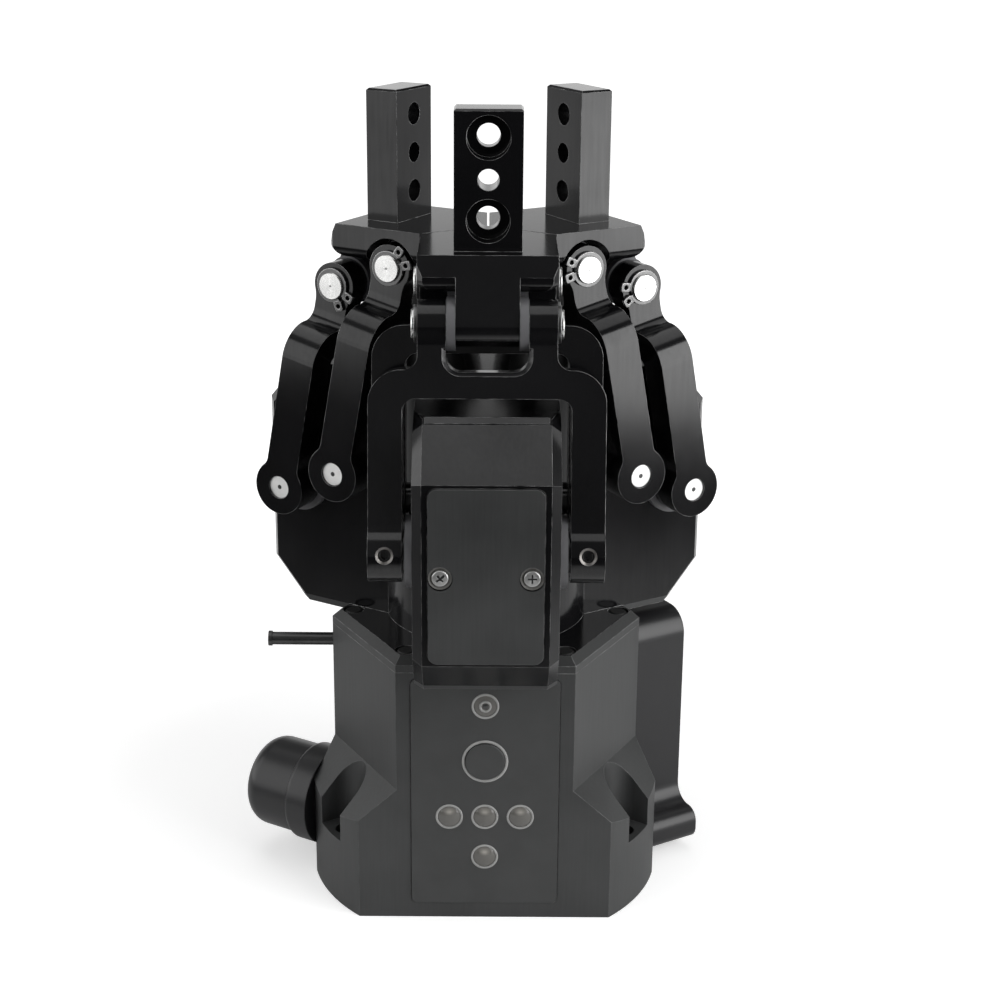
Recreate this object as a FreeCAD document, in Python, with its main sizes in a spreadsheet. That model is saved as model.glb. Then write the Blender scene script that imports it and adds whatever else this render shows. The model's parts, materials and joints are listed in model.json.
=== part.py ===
import FreeCAD, Part
import math
import os
import re
import Sketcher

# Electric three-jaw gripper. Three jaws are carried by parallelogram linkages on three gear cases,
# and one motor moves them together through a central rack. Millimetres and degrees.
# The origin is the centre of the bottom mounting face, with +Z towards the jaws.

Vector = FreeCAD.Vector
Z_AXIS = Vector(0, 0, 1)
Y_AXIS = Vector(0, 1, 0)
X_AXIS = Vector(1, 0, 0)
XY, XZ, YZ = "XY_Plane", "XZ_Plane", "YZ_Plane"

# Driving dimensions: name, value and what it measures.
SIZES = (
    ("front_angle", -90, "direction of the front jaw"),
    ("running_gap", 0.05, "radial clearance of a turning fit"),
    ("fit_gap", 0.1, "clearance round a piece that drops into a recess"),
    ("base_radius", 46.6, "radius of the round base"),
    ("facet_distance", 33.7, "centre to the three flat facets"),
    ("flank_distance", 36.2, "centre to the three flanks between the facets"),
    ("shoulder_z", 36.4, "height where the flanks meet the sloped shoulder"),
    ("shoulder_angle", 46, "slope of the shoulder"),
    ("housing_top", 68.8, "height of the seam between housing and gear head"),
    ("bolt_circle_r", 42, "radius of the mounting bolt circle"),
    ("bolt_pocket_r", 5.6, "radius of the bolt head pockets"),
    ("bolt_pocket_z", 18.4, "height of the bolt head seats"),
    ("bolt_hole_r", 2.75, "radius of the mounting bolt holes"),
    ("bay_r", 24.5, "radius of the motor bay"),
    ("bay_top", 62, "height of the motor bay's roof"),
    ("cover_disc_r", 31, "radius of the bottom cover"),
    ("cover_disc_thick", 4, "thickness of the bottom cover"),
    ("cover_disc_screw_r", 27.5, "radius of the bottom cover's screw circle"),
    ("motor_r", 21, "radius of the motor"),
    ("motor_length", 46, "length of the motor"),
    ("motor_screw_circle_r", 14, "radius of the motor's screw circle"),
    ("small_screw_r", 1.5, "radius of the small machine screws"),
    ("small_head_r", 2.6, "head radius of the small machine screws"),
    ("small_head_thick", 2.2, "head height of the small machine screws"),
    ("small_screw_length", 9, "shank length of the small machine screws"),
    ("panel_width", 37.3, "width of the control panel"),
    ("panel_bottom", 4.3, "lower edge of the control panel"),
    ("panel_top", 67.2, "upper edge of the control panel"),
    ("panel_corner", 1.5, "corner radius of the control panel"),
    ("panel_thick", 1.4, "thickness of the control panel"),
    ("panel_inset", 1.1, "depth that the panel is let into the facet"),
    ("board_width", 30, "width of the controller board"),
    ("board_bottom", 11, "lower edge of the controller board"),
    ("board_top", 64, "upper edge of the controller board"),
    ("board_thick", 1.6, "thickness of the controller board"),
    ("board_room", 6.4, "depth of the board pocket from the facet"),
    ("button_z", 44.8, "height of the release button"),
    ("button_r", 5, "radius of the release button"),
    ("button_proud", 0.5, "height of the button over the panel"),
    ("button_flange", 0.9, "thickness and overhang of the button's flange"),
    ("stem_r", 1.2, "radius of the button's stem"),
    ("stem_reach", 0.7, "length of the button's stem inside the switch"),
    ("switch_width", 6.2, "side of the release switch"),
    ("switch_thick", 1.6, "height of the release switch"),
    ("lens_r", 2.8, "radius of the indicator lenses"),
    ("lens_proud", 0.35, "height of the lenses over the panel"),
    ("lens_top_z", 60, "height of the upper indicator"),
    ("lens_row_z", 29.2, "height of the row of three indicators"),
    ("lens_low_z", 17.8, "height of the lowest indicator"),
    ("lens_spacing", 9, "spacing of the indicators in the row"),
    ("flange_thick", 4, "thickness of the gear head's flange"),
    ("flange_bevel", 2, "bevel along the top edge of the flange"),
    ("core_r", 26, "radius of the gear head's core"),
    ("head_gap", 2.68, "gap between the gear head and a driven yoke's web"),
    ("floor_thick", 8, "thickness of the gear head's floor"),
    ("roof_thick", 3.4, "thickness of the gear head's roof"),
    ("gear_room", 0.95, "gap under a sector gear"),
    ("case_width", 34.4, "width of a gear case"),
    ("case_reach", 10.93, "distance from a driven pivot to the outer face of its case"),
    ("case_lift", 2.4, "height of a case's underside over the housing"),
    ("lower_bevel_run", 9.2, "depth of the bevel under a gear case"),
    ("lower_bevel_rise", 10, "height of the bevel under a gear case"),
    ("slope_drop", 11.9, "height of the slope over a gear case"),
    ("slope_run", 10.8, "depth of the slope over a gear case"),
    ("top_bevel_run", 1.6, "depth of the narrow bevel on top of a gear case"),
    ("top_bevel_cut", 0.6, "part of the slope that the narrow bevel takes away"),
    ("case_edge", 2.3, "chamfer along the side edges of a gear case"),
    ("chamber_width", 10, "width of the chamber for a sector gear"),
    ("rack_room", 0.7, "clearance between the rack and its bore"),
    ("cover_margin", 1.45, "strip of the case face beside a cover"),
    ("cover_lip", 0.8, "strip of the case face above and below a cover"),
    ("cover_corner", 2.2, "corner radius of a case cover"),
    ("cover_thick", 2.2, "thickness of a case cover"),
    ("cover_inset", 1.6, "depth that a cover is let into its case"),
    ("cover_screw_r", 1.25, "radius of the cover screws"),
    ("cover_head_r", 1.95, "head radius of the cover screws"),
    ("cover_head_thick", 0.9, "head height of the cover screws"),
    ("cover_screw_length", 5.4, "shank length of the cover screws"),
    ("screw_wall", 0.35, "wall between a cover screw and the bush beside it"),
    ("dish_r", 2.75, "radius of the dish round a cover screw"),
    ("dish_depth", 0.6, "depth of the dish round a cover screw"),
    ("drive_pivot_r", 46.07, "centre to the driven pivots"),
    ("pivot_step_r", 16.76, "distance inwards from a driven to a following pivot"),
    ("pivot_step_z", 6.4, "rise from a driven to a following pivot"),
    ("link_length", 53.4, "length of the links between their pivots"),
    ("link_lean", 11.4, "inward lean of the links when the jaws are closed"),
    ("leg_thick", 8, "thickness of a yoke's legs"),
    ("leg_gap", 0.7, "gap between a yoke's leg and the bush"),
    ("neck_half", 16.2, "half width of a yoke's neck"),
    ("notch_depth", 11, "depth of a yoke's notch below its pin"),
    ("notch_corner", 3.5, "corner radius at the bottom of a yoke's notch"),
    ("notch_rim", 0.9, "bevel round a yoke's notch"),
    ("web_height", 6.1, "height of a yoke's cross web"),
    ("window_corner", 3, "corner radius of a yoke's window"),
    ("shoulder_drop", 10.4, "distance from a yoke's upper pin to its shoulders"),
    ("shoulder_flat", 0.4, "straight part of a yoke's shoulders"),
    ("neck_fillet", 3.2, "fillet between a yoke's neck and shoulders"),
    ("arm_width", 9.4, "width of a yoke's arms"),
    ("lower_eye_r", 7.2, "radius of a yoke's lower eyes"),
    ("upper_eye_r", 5.8, "radius of a yoke's upper eyes"),
    ("lower_eye_fillet", 3.3, "fillet between an arm and its lower eyes"),
    ("upper_eye_fillet", 8, "fillet between an arm and its upper eyes"),
    ("pin_r", 3.5, "radius of the jaw pins"),
    ("pin_proud", 1.5, "length of a jaw pin outside the yoke's neck"),
    ("pin_chamfer", 0.5, "chamfer at the ends of the jaw pins"),
    ("pin_centre_r", 0.5, "radius of the centre holes in the jaw pins"),
    ("groove_depth", 0.3, "depth of the retaining ring grooves"),
    ("ring_thick", 0.8, "thickness of the retaining rings"),
    ("ring_r", 4.3, "outer radius of the retaining rings"),
    ("ring_lug_width", 1.9, "width of the retaining rings' lugs"),
    ("ring_lug_reach", 4.5, "distance from a ring's centre to the holes in its lugs"),
    ("ring_lug_turn", 24, "angle between a lug and the middle of the ring's gap"),
    ("ring_gap", 1.2, "width of the retaining rings' gap"),
    ("inner_ring_turn", 7, "rise of the gap of the rings on the inner pins"),
    ("outer_ring_turn", -23, "rise of the gap of the rings on the outer pins"),
    ("ring_lug_hole_r", 0.4, "radius of the holes in the lugs"),
    ("washer_r", 6.3, "radius of the thrust washers"),
    ("washer_thick", 2.05, "thickness of the thrust washers"),
    ("axle_r", 3, "radius of the following pivots' axles"),
    ("axle_boss_r", 5, "radius of the bosses round the axles"),
    ("axle_seat", 8, "depth that the axles are pressed into the case"),
    ("axle_recess", 0.4, "depth of the shaft ends below the yoke's side"),
    ("shaft_r", 5, "radius of the drive shafts"),
    ("bush_r", 7, "outer radius of the drive shaft bushes"),
    ("bush_flange_r", 8.6, "flange radius of the bushes"),
    ("bush_flange_thick", 1.7, "flange thickness of the bushes"),
    ("bush_length", 5, "length of the bushes inside the case wall"),
    ("set_screw_r", 2, "radius of the yoke's set screws"),
    ("set_screw_length", 3, "length of the yoke's set screws"),
    ("set_screw_socket_r", 1.16, "corner radius of the set screws' sockets"),
    ("rack_pitch_r", 20, "pitch radius of the ring rack"),
    ("gear_teeth", 26, "teeth on the full circle of a sector gear"),
    ("teeth_above", 1, "sector teeth above the line of centres"),
    ("teeth_below", 5, "sector teeth below the line of centres"),
    ("pressure_angle", 20, "pressure angle of the teeth"),
    ("dedendum", 1.2, "depth of the teeth below the pitch line, in modules"),
    ("backlash", 0.3, "play between the teeth at the pitch line"),
    ("gear_width", 8, "width of a sector gear"),
    ("gear_hub_r", 8.5, "hub radius of a sector gear"),
    ("rack_lift", 0.6, "gap between the rack and the floor when the jaws are closed"),
    ("rack_over", 5, "height of the rack over the driven pivots when the jaws are closed"),
    ("nut_r", 9, "outer radius of the screw nut"),
    ("nut_length", 16, "length of the screw nut"),
    ("screw_r", 6, "radius of the drive screw"),
    ("screw_clear", 4.4, "gap between the drive screw and the roof"),
    ("journal_r", 5, "radius of the drive screw's lower journal"),
    ("journal_seat", 12, "depth of the journal inside the motor"),
    ("bearing_r", 11, "outer radius of the screw bearing"),
    ("bearing_thick", 6, "thickness of the screw bearing"),
    ("guide_r", 2, "radius of the rack's guide rods"),
    ("guide_circle_r", 13.5, "radius of the guide rod circle"),
    ("guide_seat", 2, "depth of the guide rods in floor and roof"),
    ("head_screw_r", 28.6, "distance outwards to the head screws beside the cases"),
    ("plate_half", 16.37, "half width of a jaw plate"),
    ("plate_reach", 1.2, "distance from the outer pin to the outer end of the jaw plate"),
    ("plate_rise", 9.53, "height of a jaw plate's top over the inner pin"),
    ("plate_thick", 8.6, "thickness of a jaw plate"),
    ("plate_slope", 2.2, "depth of the slope at a jaw plate's outer end"),
    ("plate_edge", 1.2, "chamfer along the sides and the bottom of a jaw plate's outer end"),
    ("plate_round", 3, "corner radius at the lower sides of a jaw plate"),
    ("seam_gap", 0.5, "gap between neighbouring jaw plates when closed"),
    ("arch_r", 7.3, "radius of the arch over a following link's eye"),
    ("tongue_width", 14.9, "width of a jaw's tongue"),
    ("tongue_r", 5.8, "radius of the tongue's outer end"),
    ("tongue_flat", 4.7, "distance from the outer pin to the flat under the tongue"),
    ("tongue_flat_turn", 64, "angle of that flat's normal below the outward direction"),
    ("tongue_inner_r", 6.2, "radius of the tongue's inner end"),
    ("finger_step", 2.75, "distance from the inner pin to a finger's gripping face"),
    ("finger_thick", 8.9, "thickness of a finger"),
    ("finger_width", 16, "width of a finger"),
    ("finger_height", 32.8, "height of a finger over its plate"),
    ("finger_edge", 0.5, "chamfer along a finger's top edges"),
    ("finger_hole_r", 2.75, "radius of a finger's screw holes"),
    ("finger_dowel_r", 2.5, "radius of a finger's dowel hole"),
    ("finger_hole_drop", 6.5, "distance from a finger's top to its first hole"),
    ("finger_hole_pitch", 9.6, "pitch of a finger's holes"),
    ("counterbore_r", 5.1, "radius of the counterbores in a finger"),
    ("counterbore_depth", 4.6, "depth of the counterbores in a finger"),
    ("side_box_half", 19, "half width of the connector housing"),
    ("side_box_r", 51, "centre to the outer end of the connector housing"),
    ("side_box_top", 67.6, "top of the connector housing"),
    ("side_box_round", 6.5, "corner radius at the top of the connector housing"),
    ("side_foot_half", 28, "half width over the connector housing's feet"),
    ("side_foot_bottom", 3, "underside of the connector housing"),
    ("side_foot_thick", 9, "thickness of the connector housing's feet"),
    ("side_foot_fillet", 4.9, "fillet over the connector housing's feet"),
    ("side_foot_round", 3.6, "corner radius of the connector housing's feet"),
    ("post_r", 1.7, "radius of the cable post"),
    ("post_length", 19, "length of the cable post along its middle"),
    ("post_side", 19, "cable post's distance from the middle of its facet"),
    ("post_z", 63, "height of the cable post"),
    ("post_turn", 30, "angle between the cable post and its facet's normal"),
    ("post_head_r", 2, "radius of the cable post's head"),
    ("post_head_thick", 1, "thickness of the cable post's head"),
    ("entry_r", 13.2, "radius of the cable entry's seat"),
    ("entry_nose_r", 12.2, "radius of the cable entry's nose"),
    ("entry_seat", 7, "thickness of the cable entry's seat"),
    ("entry_length", 22, "length of the cable entry"),
    ("entry_round", 5, "corner radius of the cable entry's nose"),
    ("entry_bore_r", 4.5, "radius of the cable entry's bore"),
    ("entry_side", 24, "cable entry's distance from the middle of its facet"),
    ("entry_z", 18.8, "height of the cable entry"),
)

# Sizes that follow from the driving ones.
DERIVED = {
    "case_half": "case_width / 2",
    "tongue_half": "tongue_width / 2",
    "leg_inner": "case_half + bush_flange_thick + leg_gap",
    "leg_outer": "leg_inner + leg_thick",
    "leg_middle": "(leg_inner + leg_outer) / 2",
    "boss_end": "leg_inner - fit_gap",
    "gear_pitch_r": "drive_pivot_r - rack_pitch_r",
    "gear_module": "2 * gear_pitch_r / gear_teeth",
    "gear_tip_r": "gear_pitch_r + gear_module",
    "rack_bore_r": "rack_pitch_r + gear_module + rack_room",
    "flange_top": "housing_top + flange_thick",
    "cavity_floor": "housing_top + floor_thick",
    "drive_pivot_z": "cavity_floor + gear_tip_r + gear_room",
    "follow_pivot_r": "drive_pivot_r - pivot_step_r",
    "follow_pivot_z": "drive_pivot_z + pivot_step_z",
    "outer_pin_r": "drive_pivot_r - link_length * sin(link_lean)",
    "outer_pin_z": "drive_pivot_z + link_length * cos(link_lean)",
    "inner_pin_r": "outer_pin_r - pivot_step_r",
    "inner_pin_z": "outer_pin_z + pivot_step_z",
    "plate_top": "inner_pin_z + plate_rise",
    "plate_bottom": "plate_top - plate_thick",
    "plate_end_r": "outer_pin_r + plate_reach",
    "plate_crest_r": "plate_end_r - plate_slope",
    "crest_out": "plate_crest_r - outer_pin_r",
    "crest_up": "plate_top - outer_pin_z",
    "crest_square": "crest_out ^ 2 + crest_up ^ 2",
    "touch_along": "tongue_r ^ 2 / crest_square",
    "touch_across": "tongue_r * sqrt(crest_square - tongue_r ^ 2) / crest_square",
    "touch_r": "outer_pin_r + touch_along * crest_out + touch_across * crest_up",
    "touch_z": "outer_pin_z + touch_along * crest_up - touch_across * crest_out",
    "finger_inner_r": "inner_pin_r + finger_step",
    "finger_outer_r": "finger_inner_r + finger_thick",
    "finger_top": "plate_top + finger_height",
    "seam_tip_r": "seam_gap / 2 / sin(60)",
    "seam_end_r": "seam_tip_r + plate_half / tan(60)",
    "notch_floor": "link_length - notch_depth",
    "window_top": "notch_floor - web_height",
    "fillet_reach": "upper_eye_r + upper_eye_fillet",
    "fillet_side": "arm_width / 2 + upper_eye_fillet",
    "arm_end": "link_length - sqrt(fillet_reach ^ 2 - fillet_side ^ 2)",
    "yoke_shoulder": "link_length - shoulder_drop",
    "shoulder_round": "leg_outer - neck_half - neck_fillet - shoulder_flat",
    "notch_half": "tongue_half + washer_thick + fit_gap",
    "pin_half": "neck_half + pin_proud",
    "head_top": "drive_pivot_z + window_top * cos(link_lean) - arm_width / 2 * sin(link_lean) - head_gap",
    "cavity_top": "head_top - roof_thick",
    "case_face_r": "drive_pivot_r + case_reach",
    "case_bottom": "housing_top + case_lift",
    "lower_bevel_r": "case_face_r - lower_bevel_run",
    "lower_bevel_z": "case_bottom + lower_bevel_rise",
    "slope_r": "case_face_r - slope_run",
    "slope_z": "head_top - slope_drop",
    "cover_width": "case_width - 2 * (case_edge + cover_margin)",
    "cover_bottom": "lower_bevel_z + cover_lip",
    "cover_top": "slope_z - cover_lip",
    "cover_screw_z": "(cover_bottom + cover_top) / 2",
    "cover_screw_side": "case_half - bush_length - cover_screw_r - screw_wall",
    "head_screw_side": "case_half + fit_gap + small_head_r",
    "rack_bottom": "cavity_floor + rack_lift",
    "rack_top": "drive_pivot_z + rack_over",
    "screw_top": "cavity_top - screw_clear",
    "panel_back_r": "facet_distance - panel_inset",
    "panel_face_r": "panel_back_r + panel_thick",
    "board_seat_r": "facet_distance - board_room",
    "switch_seat_r": "board_seat_r + board_thick",
    "switch_face_r": "switch_seat_r + switch_thick",
    "cover_seat_r": "case_face_r - cover_inset",
    "cover_face_r": "cover_seat_r + cover_thick",
    "dish_face_r": "cover_face_r - dish_depth",
    "motor_top": "bay_top",
    "motor_bottom": "motor_top - motor_length",
}

SECTORS = ("front", "right", "left")
# Directions of the screws and guide rods, between the jaws.
SCREW_TURNS = (60, 180, 300)

doc = FreeCAD.newDocument("ThreeJawGripper")
sheet = doc.addObject("Spreadsheet::Sheet", "Sizes")
for row, (alias, amount, meaning) in enumerate(SIZES, start=1):
    sheet.set(f"A{row}", meaning)
    sheet.set(f"B{row}", str(amount))
    sheet.setAlias(f"B{row}", alias)
doc.recompute()
DRIVING = {alias for alias, amount, meaning in SIZES}
nodes = []


def bound(text):
    """Write a formula of size names as an expression on the sheet."""
    def full_name(match):
        word = match[0]
        if word in DERIVED:
            return "(" + bound(DERIVED[word]) + ")"
        return "Sizes." + word if word in DRIVING else word
    return re.sub(r"[a-z]\w*", full_name, text)


def number(text):
    """Work out a formula of size names."""
    return float(sheet.evalExpression(bound(text)))


def sector_angle(index):
    return f"front_angle + {120 * index}"


def sector_placement(index):
    """Turn the sector frame, with X outwards, Y sideways and Z up, to its place round the centre."""
    return FreeCAD.Placement(Vector(), FreeCAD.Rotation(Z_AXIS, number(sector_angle(index))))


def new_body(label, placement):
    """Start a node as a body, with its placement bound to the sheet."""
    body = doc.addObject("PartDesign::Body", label)
    body.Label = label
    body.setExpression("Placement", bound(placement))
    nodes.append(body)
    return body


def in_sector(index):
    return f"placement(vector(0; 0; 0); rotationz({sector_angle(index)}))"


def on_link(index, pivot_r, pivot_z):
    """Place a link's frame: its origin on the lower pivot and its Z along the link."""
    return f"{in_sector(index)} * placement(vector({pivot_r}; 0; {pivot_z}); rotationy(-link_lean))"


def origin_part(body, role):
    return next(part for part in body.Origin.OriginFeatures if part.Role == role)


def pin_point(sketch, geometry, position, x, y):
    """Fix a point of a sketch at two formulas, measured from the sketch's origin."""
    for kind, formula in (("DistanceX", x), ("DistanceY", y)):
        rule = Sketcher.Constraint(kind, -1, 1, geometry, position, number(formula))
        place = sketch.addConstraint(rule)
        sketch.setExpression(f"Constraints[{place}]", bound(formula))


def add_outline(sketch, corners):
    """Add a closed outline whose corners are (x, y), or (x, y, radius) where they are rounded."""
    count = len(corners)
    points = [Vector(number(corner[0]), number(corner[1]), 0) for corner in corners]
    arrive = []
    leave = []
    for index, corner in enumerate(corners):
        back = (points[index - 1] - points[index]).normalize()
        ahead = (points[(index + 1) % count] - points[index]).normalize()
        radius = number(corner[2]) if len(corner) > 2 else 0
        reach = radius / math.tan(back.getAngle(ahead) / 2)
        arrive.append(points[index] + back * reach)
        leave.append(points[index] + ahead * reach)
    lines = []
    for index in range(count):
        lines.append(sketch.addGeometry(Part.LineSegment(leave[index], arrive[(index + 1) % count])))
    for index, corner in enumerate(corners):
        before = lines[index - 1]
        after = lines[index]
        if len(corner) == 2:
            sketch.addConstraint(Sketcher.Constraint("Coincident", before, 2, after, 1))
            pin_point(sketch, after, 1, corner[0], corner[1])
            continue
        round_corner(sketch, corner, points[index], (arrive[index], leave[index]), (before, after))


def box(left, right, low, high, radius=None):
    """Corners of an upright rectangle, rounded where a radius is given."""
    ends = [(left, low), (right, low), (right, high), (left, high)]
    return [end + (radius,) for end in ends] if radius else ends


def round_corner(sketch, corner, point, touch, lines):
    """Join two lines of an outline by an arc that is tangent to both."""
    x, y, radius = corner
    mark = sketch.addGeometry(Part.Point(point), True)
    pin_point(sketch, mark, 1, x, y)
    for line in lines:
        sketch.addConstraint(Sketcher.Constraint("PointOnObject", mark, 1, line))
    first, last = touch
    inward = ((first - point) + (last - point)).normalize()
    size = number(radius)
    half_angle = (first - point).getAngle(last - point) / 2
    centre = point + inward * (size / math.sin(half_angle))
    turns_left = (point - first).cross(last - point).z > 0
    start, end = (first, last) if turns_left else (last, first)
    angles = [math.atan2(spot.y - centre.y, spot.x - centre.x) for spot in (start, end)]
    arc = sketch.addGeometry(Part.ArcOfCircle(Part.Circle(centre, Z_AXIS, size), angles[0], angles[1]))
    entry, way_out = (1, 2) if turns_left else (2, 1)
    sketch.addConstraint(Sketcher.Constraint("Tangent", lines[0], 2, arc, entry))
    sketch.addConstraint(Sketcher.Constraint("Tangent", arc, way_out, lines[1], 1))
    place = sketch.addConstraint(Sketcher.Constraint("Radius", arc, size))
    sketch.setExpression(f"Constraints[{place}]", bound(radius))


def add_circle(sketch, x, y, radius):
    middle = Vector(number(x), number(y), 0)
    circle = sketch.addGeometry(Part.Circle(middle, Z_AXIS, number(radius)))
    pin_point(sketch, circle, 3, x, y)
    place = sketch.addConstraint(Sketcher.Constraint("Radius", circle, number(radius)))
    sketch.setExpression(f"Constraints[{place}]", bound(radius))


def draw(body, name, role, outlines=(), circles=(), offset="0"):
    """Draw outlines and circles on one of the body's origin planes, moved along its normal."""
    sketch = body.newObject("Sketcher::SketchObject", f"{body.Label}_{name}")
    sketch.AttachmentSupport = [(origin_part(body, role), "")]
    sketch.MapMode = "FlatFace"
    sketch.setExpression("AttachmentOffset.Base.z", bound(offset))
    for corners in outlines:
        add_outline(sketch, corners)
    for x, y, radius in circles:
        add_circle(sketch, x, y, radius)
    return sketch


def extrude(body, kind, name, sketch, length, symmetric, reverse):
    feature = body.newObject(f"PartDesign::{kind}", f"{body.Label}_{name}")
    feature.Profile = sketch
    if length:
        feature.setExpression("Length", bound(length))
    else:
        feature.Type = "ThroughAll"
    feature.SideType = "Symmetric" if symmetric else "One side"
    feature.Reversed = reverse
    sketch.Visibility = False
    doc.recompute()
    return feature


def pad(body, name, sketch, length, symmetric=False, reverse=False):
    return extrude(body, "Pad", name, sketch, length, symmetric, reverse)


def pocket(body, name, sketch, depth=None, symmetric=False, reverse=False):
    """Cut a sketch into the body, through all of it where no depth is given."""
    before = body.Shape.Volume
    feature = extrude(body, "Pocket", name, sketch, depth, symmetric, reverse)
    if body.Shape.Volume > before - 1e-6:
        raise RuntimeError(f"{feature.Label} cuts nothing")
    return feature


def revolve(body, name, sketch, axis):
    feature = body.newObject("PartDesign::Revolution", f"{body.Label}_{name}")
    feature.Profile = sketch
    feature.ReferenceAxis = (origin_part(body, axis), [""])
    feature.Angle = 360
    sketch.Visibility = False
    doc.recompute()
    return feature


def three_times(body, name, originals):
    """Repeat features at the three sectors round Z."""
    pattern = body.newObject("PartDesign::PolarPattern", f"{body.Label}_{name}")
    pattern.Originals = originals
    pattern.Axis = (origin_part(body, "Z_Axis"), [""])
    pattern.Angle = 360
    pattern.Occurrences = len(SECTORS)
    body.Tip = pattern
    doc.recompute()
    return pattern


def edge_names(shape, wanted):
    """Name the edges of a shape whose two end points pass a test."""
    names = []
    for index, edge in enumerate(shape.Edges, start=1):
        ends = [vertex.Point for vertex in edge.Vertexes]
        if len(ends) == 2 and wanted(*ends):
            names.append(f"Edge{index}")
    if not names:
        raise RuntimeError("no edge was found to round or chamfer")
    return names


def dress(body, kind, name, size, wanted):
    """Chamfer or fillet the edges of a body that pass a test."""
    base = body.Tip
    feature = body.newObject(f"PartDesign::{kind}", f"{body.Label}_{name}")
    feature.Base = (base, edge_names(base.Shape, wanted))
    feature.setExpression("Size" if kind == "Chamfer" else "Radius", bound(size))
    doc.recompute()
    return feature


def near(one, other):
    return abs(one - other) < 1e-4


def group(label, solids):
    """Make a node of separate like solids."""
    feature = doc.addObject("Part::Feature", label)
    feature.Label = label
    feature.Shape = Part.makeCompound(solids) if len(solids) > 1 else solids[0]
    nodes.append(feature)
    return feature


def turned(profile, middle, axis, across):
    """Turn a profile of (along, radius) points round an axis that starts at a middle point."""
    points = [middle + axis * along + across * radius for along, radius in profile]
    face = Part.Face(Part.makePolygon(points + points[:1]))
    return face.revolve(middle, axis, 360)


def screw(head, axis, head_r, head_thick, shank_r, length):
    """A machine screw from the middle of its head seat: the head stands out along the axis."""
    chamfer = head_thick / 3
    profile = [(-length, 0), (-length, shank_r), (0, shank_r), (0, head_r), (head_thick - chamfer, head_r),
               (head_thick, head_r - chamfer), (head_thick, 0)]
    across = Z_AXIS if abs(axis.z) < 0.5 else X_AXIS
    return turned(profile, head, axis, across)


def placed(shape, index):
    """Move a shape from the sector frame to its place."""
    copy = shape.copy()
    copy.Placement = sector_placement(index).multiply(copy.Placement)
    return copy


def around(radius, turn, z):
    return Vector(radius * math.cos(math.radians(turn)), radius * math.sin(math.radians(turn)), z)


# Lower housing

def make_base_housing():
    """Round base with three flats, sloped shoulders and a six-sided pillar, hollow for the motor."""
    body = new_body("base_housing", in_sector(0))
    far = "2 * base_radius"
    pad(body, "round", draw(body, "round_outline", XY, circles=[("0", "0", "base_radius")]), "shoulder_z")
    shoulder = [("-flank_distance", "shoulder_z"), ("-flank_distance", "housing_top"),
                ("-" + far, "housing_top"),
                ("-" + far, f"shoulder_z - ({far} - flank_distance) * tan(shoulder_angle)")]
    slope = pocket(body, "slope", draw(body, "slope_outline", XZ, [shoulder]), symmetric=True)
    flat = box("facet_distance", far, "-" + far, far)
    cut = pocket(body, "flat", draw(body, "flat_outline", XY, [flat]), reverse=True)
    three_times(body, "sides", [slope, cut])
    pad(body, "pillar", draw(body, "pillar_outline", XY, [hexagon()]), "housing_top")
    head_pocket = box("-" + far, "-bolt_circle_r", "-bolt_pocket_r", "bolt_pocket_r")
    slot = pocket(body, "bolt_slot", draw(body, "bolt_slot_outline", XY, [head_pocket],
                                          offset="bolt_pocket_z"), "shoulder_z", reverse=True)
    seat = pocket(body, "bolt_seat", draw(body, "bolt_seat_circle", XY, offset="bolt_pocket_z", circles=[
        ("-bolt_circle_r", "0", "bolt_pocket_r")]), "shoulder_z", reverse=True)
    hole = pocket(body, "bolt_hole", draw(body, "bolt_hole_circle", XY, circles=[
        ("-bolt_circle_r", "0", "bolt_hole_r")]), reverse=True)
    three_times(body, "bolt_places", [slot, seat, hole])
    pocket(body, "bay", draw(body, "bay_circle", XY, circles=[("0", "0", "bay_r")]), "bay_top", reverse=True)
    pocket(body, "disc_seat", draw(body, "disc_circle", XY, circles=[
        ("0", "0", "cover_disc_r + fit_gap")]), "cover_disc_thick", reverse=True)
    pocket(body, "journal_hole", draw(body, "journal_circle", XY, circles=[
        ("0", "0", "screw_r + fit_gap")]), reverse=True)
    pocket(body, "panel_seat", draw(body, "panel_outline", YZ, [panel_outline("fit_gap")],
                                    offset="facet_distance"), "panel_inset")
    room = box("-board_width / 2 - fit_gap", "board_width / 2 + fit_gap",
               "board_bottom - fit_gap", "board_top + fit_gap")
    pocket(body, "board_seat", draw(body, "board_outline", YZ, [room], offset="facet_distance"), "board_room")
    drill_screw_holes(body)


def hexagon():
    """Corners of the pillar, where facets at 0, 120 and 240 degrees meet the flanks between them."""
    corners = []
    side = "(flank_distance - facet_distance * cos(60)) / sin(60)"
    for turn in (0, 120, 240):
        for along, across in (("+", "-"), ("-", "+")):
            corners.append((f"facet_distance * cos({turn}) {along} {side} * sin({turn})",
                            f"facet_distance * sin({turn}) {across} {side} * cos({turn})"))
    return corners


def panel_outline(gap):
    return box(f"-panel_width / 2 - {gap}", f"panel_width / 2 + {gap}",
               f"panel_bottom - {gap}", f"panel_top + {gap}", "panel_corner")


def on_circle(radius):
    """Places between the jaws on a circle, as formulas."""
    return [(f"{radius} * cos({turn})", f"{radius} * sin({turn})") for turn in SCREW_TURNS]


def beside_cases():
    """Places of the head screws on the flange, one on each side of each case, as formulas."""
    return [(f"head_screw_r * cos({turn}) - {sign} * head_screw_side * sin({turn})",
             f"head_screw_r * sin({turn}) + {sign} * head_screw_side * cos({turn})")
            for turn in (0, 120, 240) for sign in (1, -1)]


def circles_at(places, radius):
    return [(x, y, radius) for x, y in places]


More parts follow.
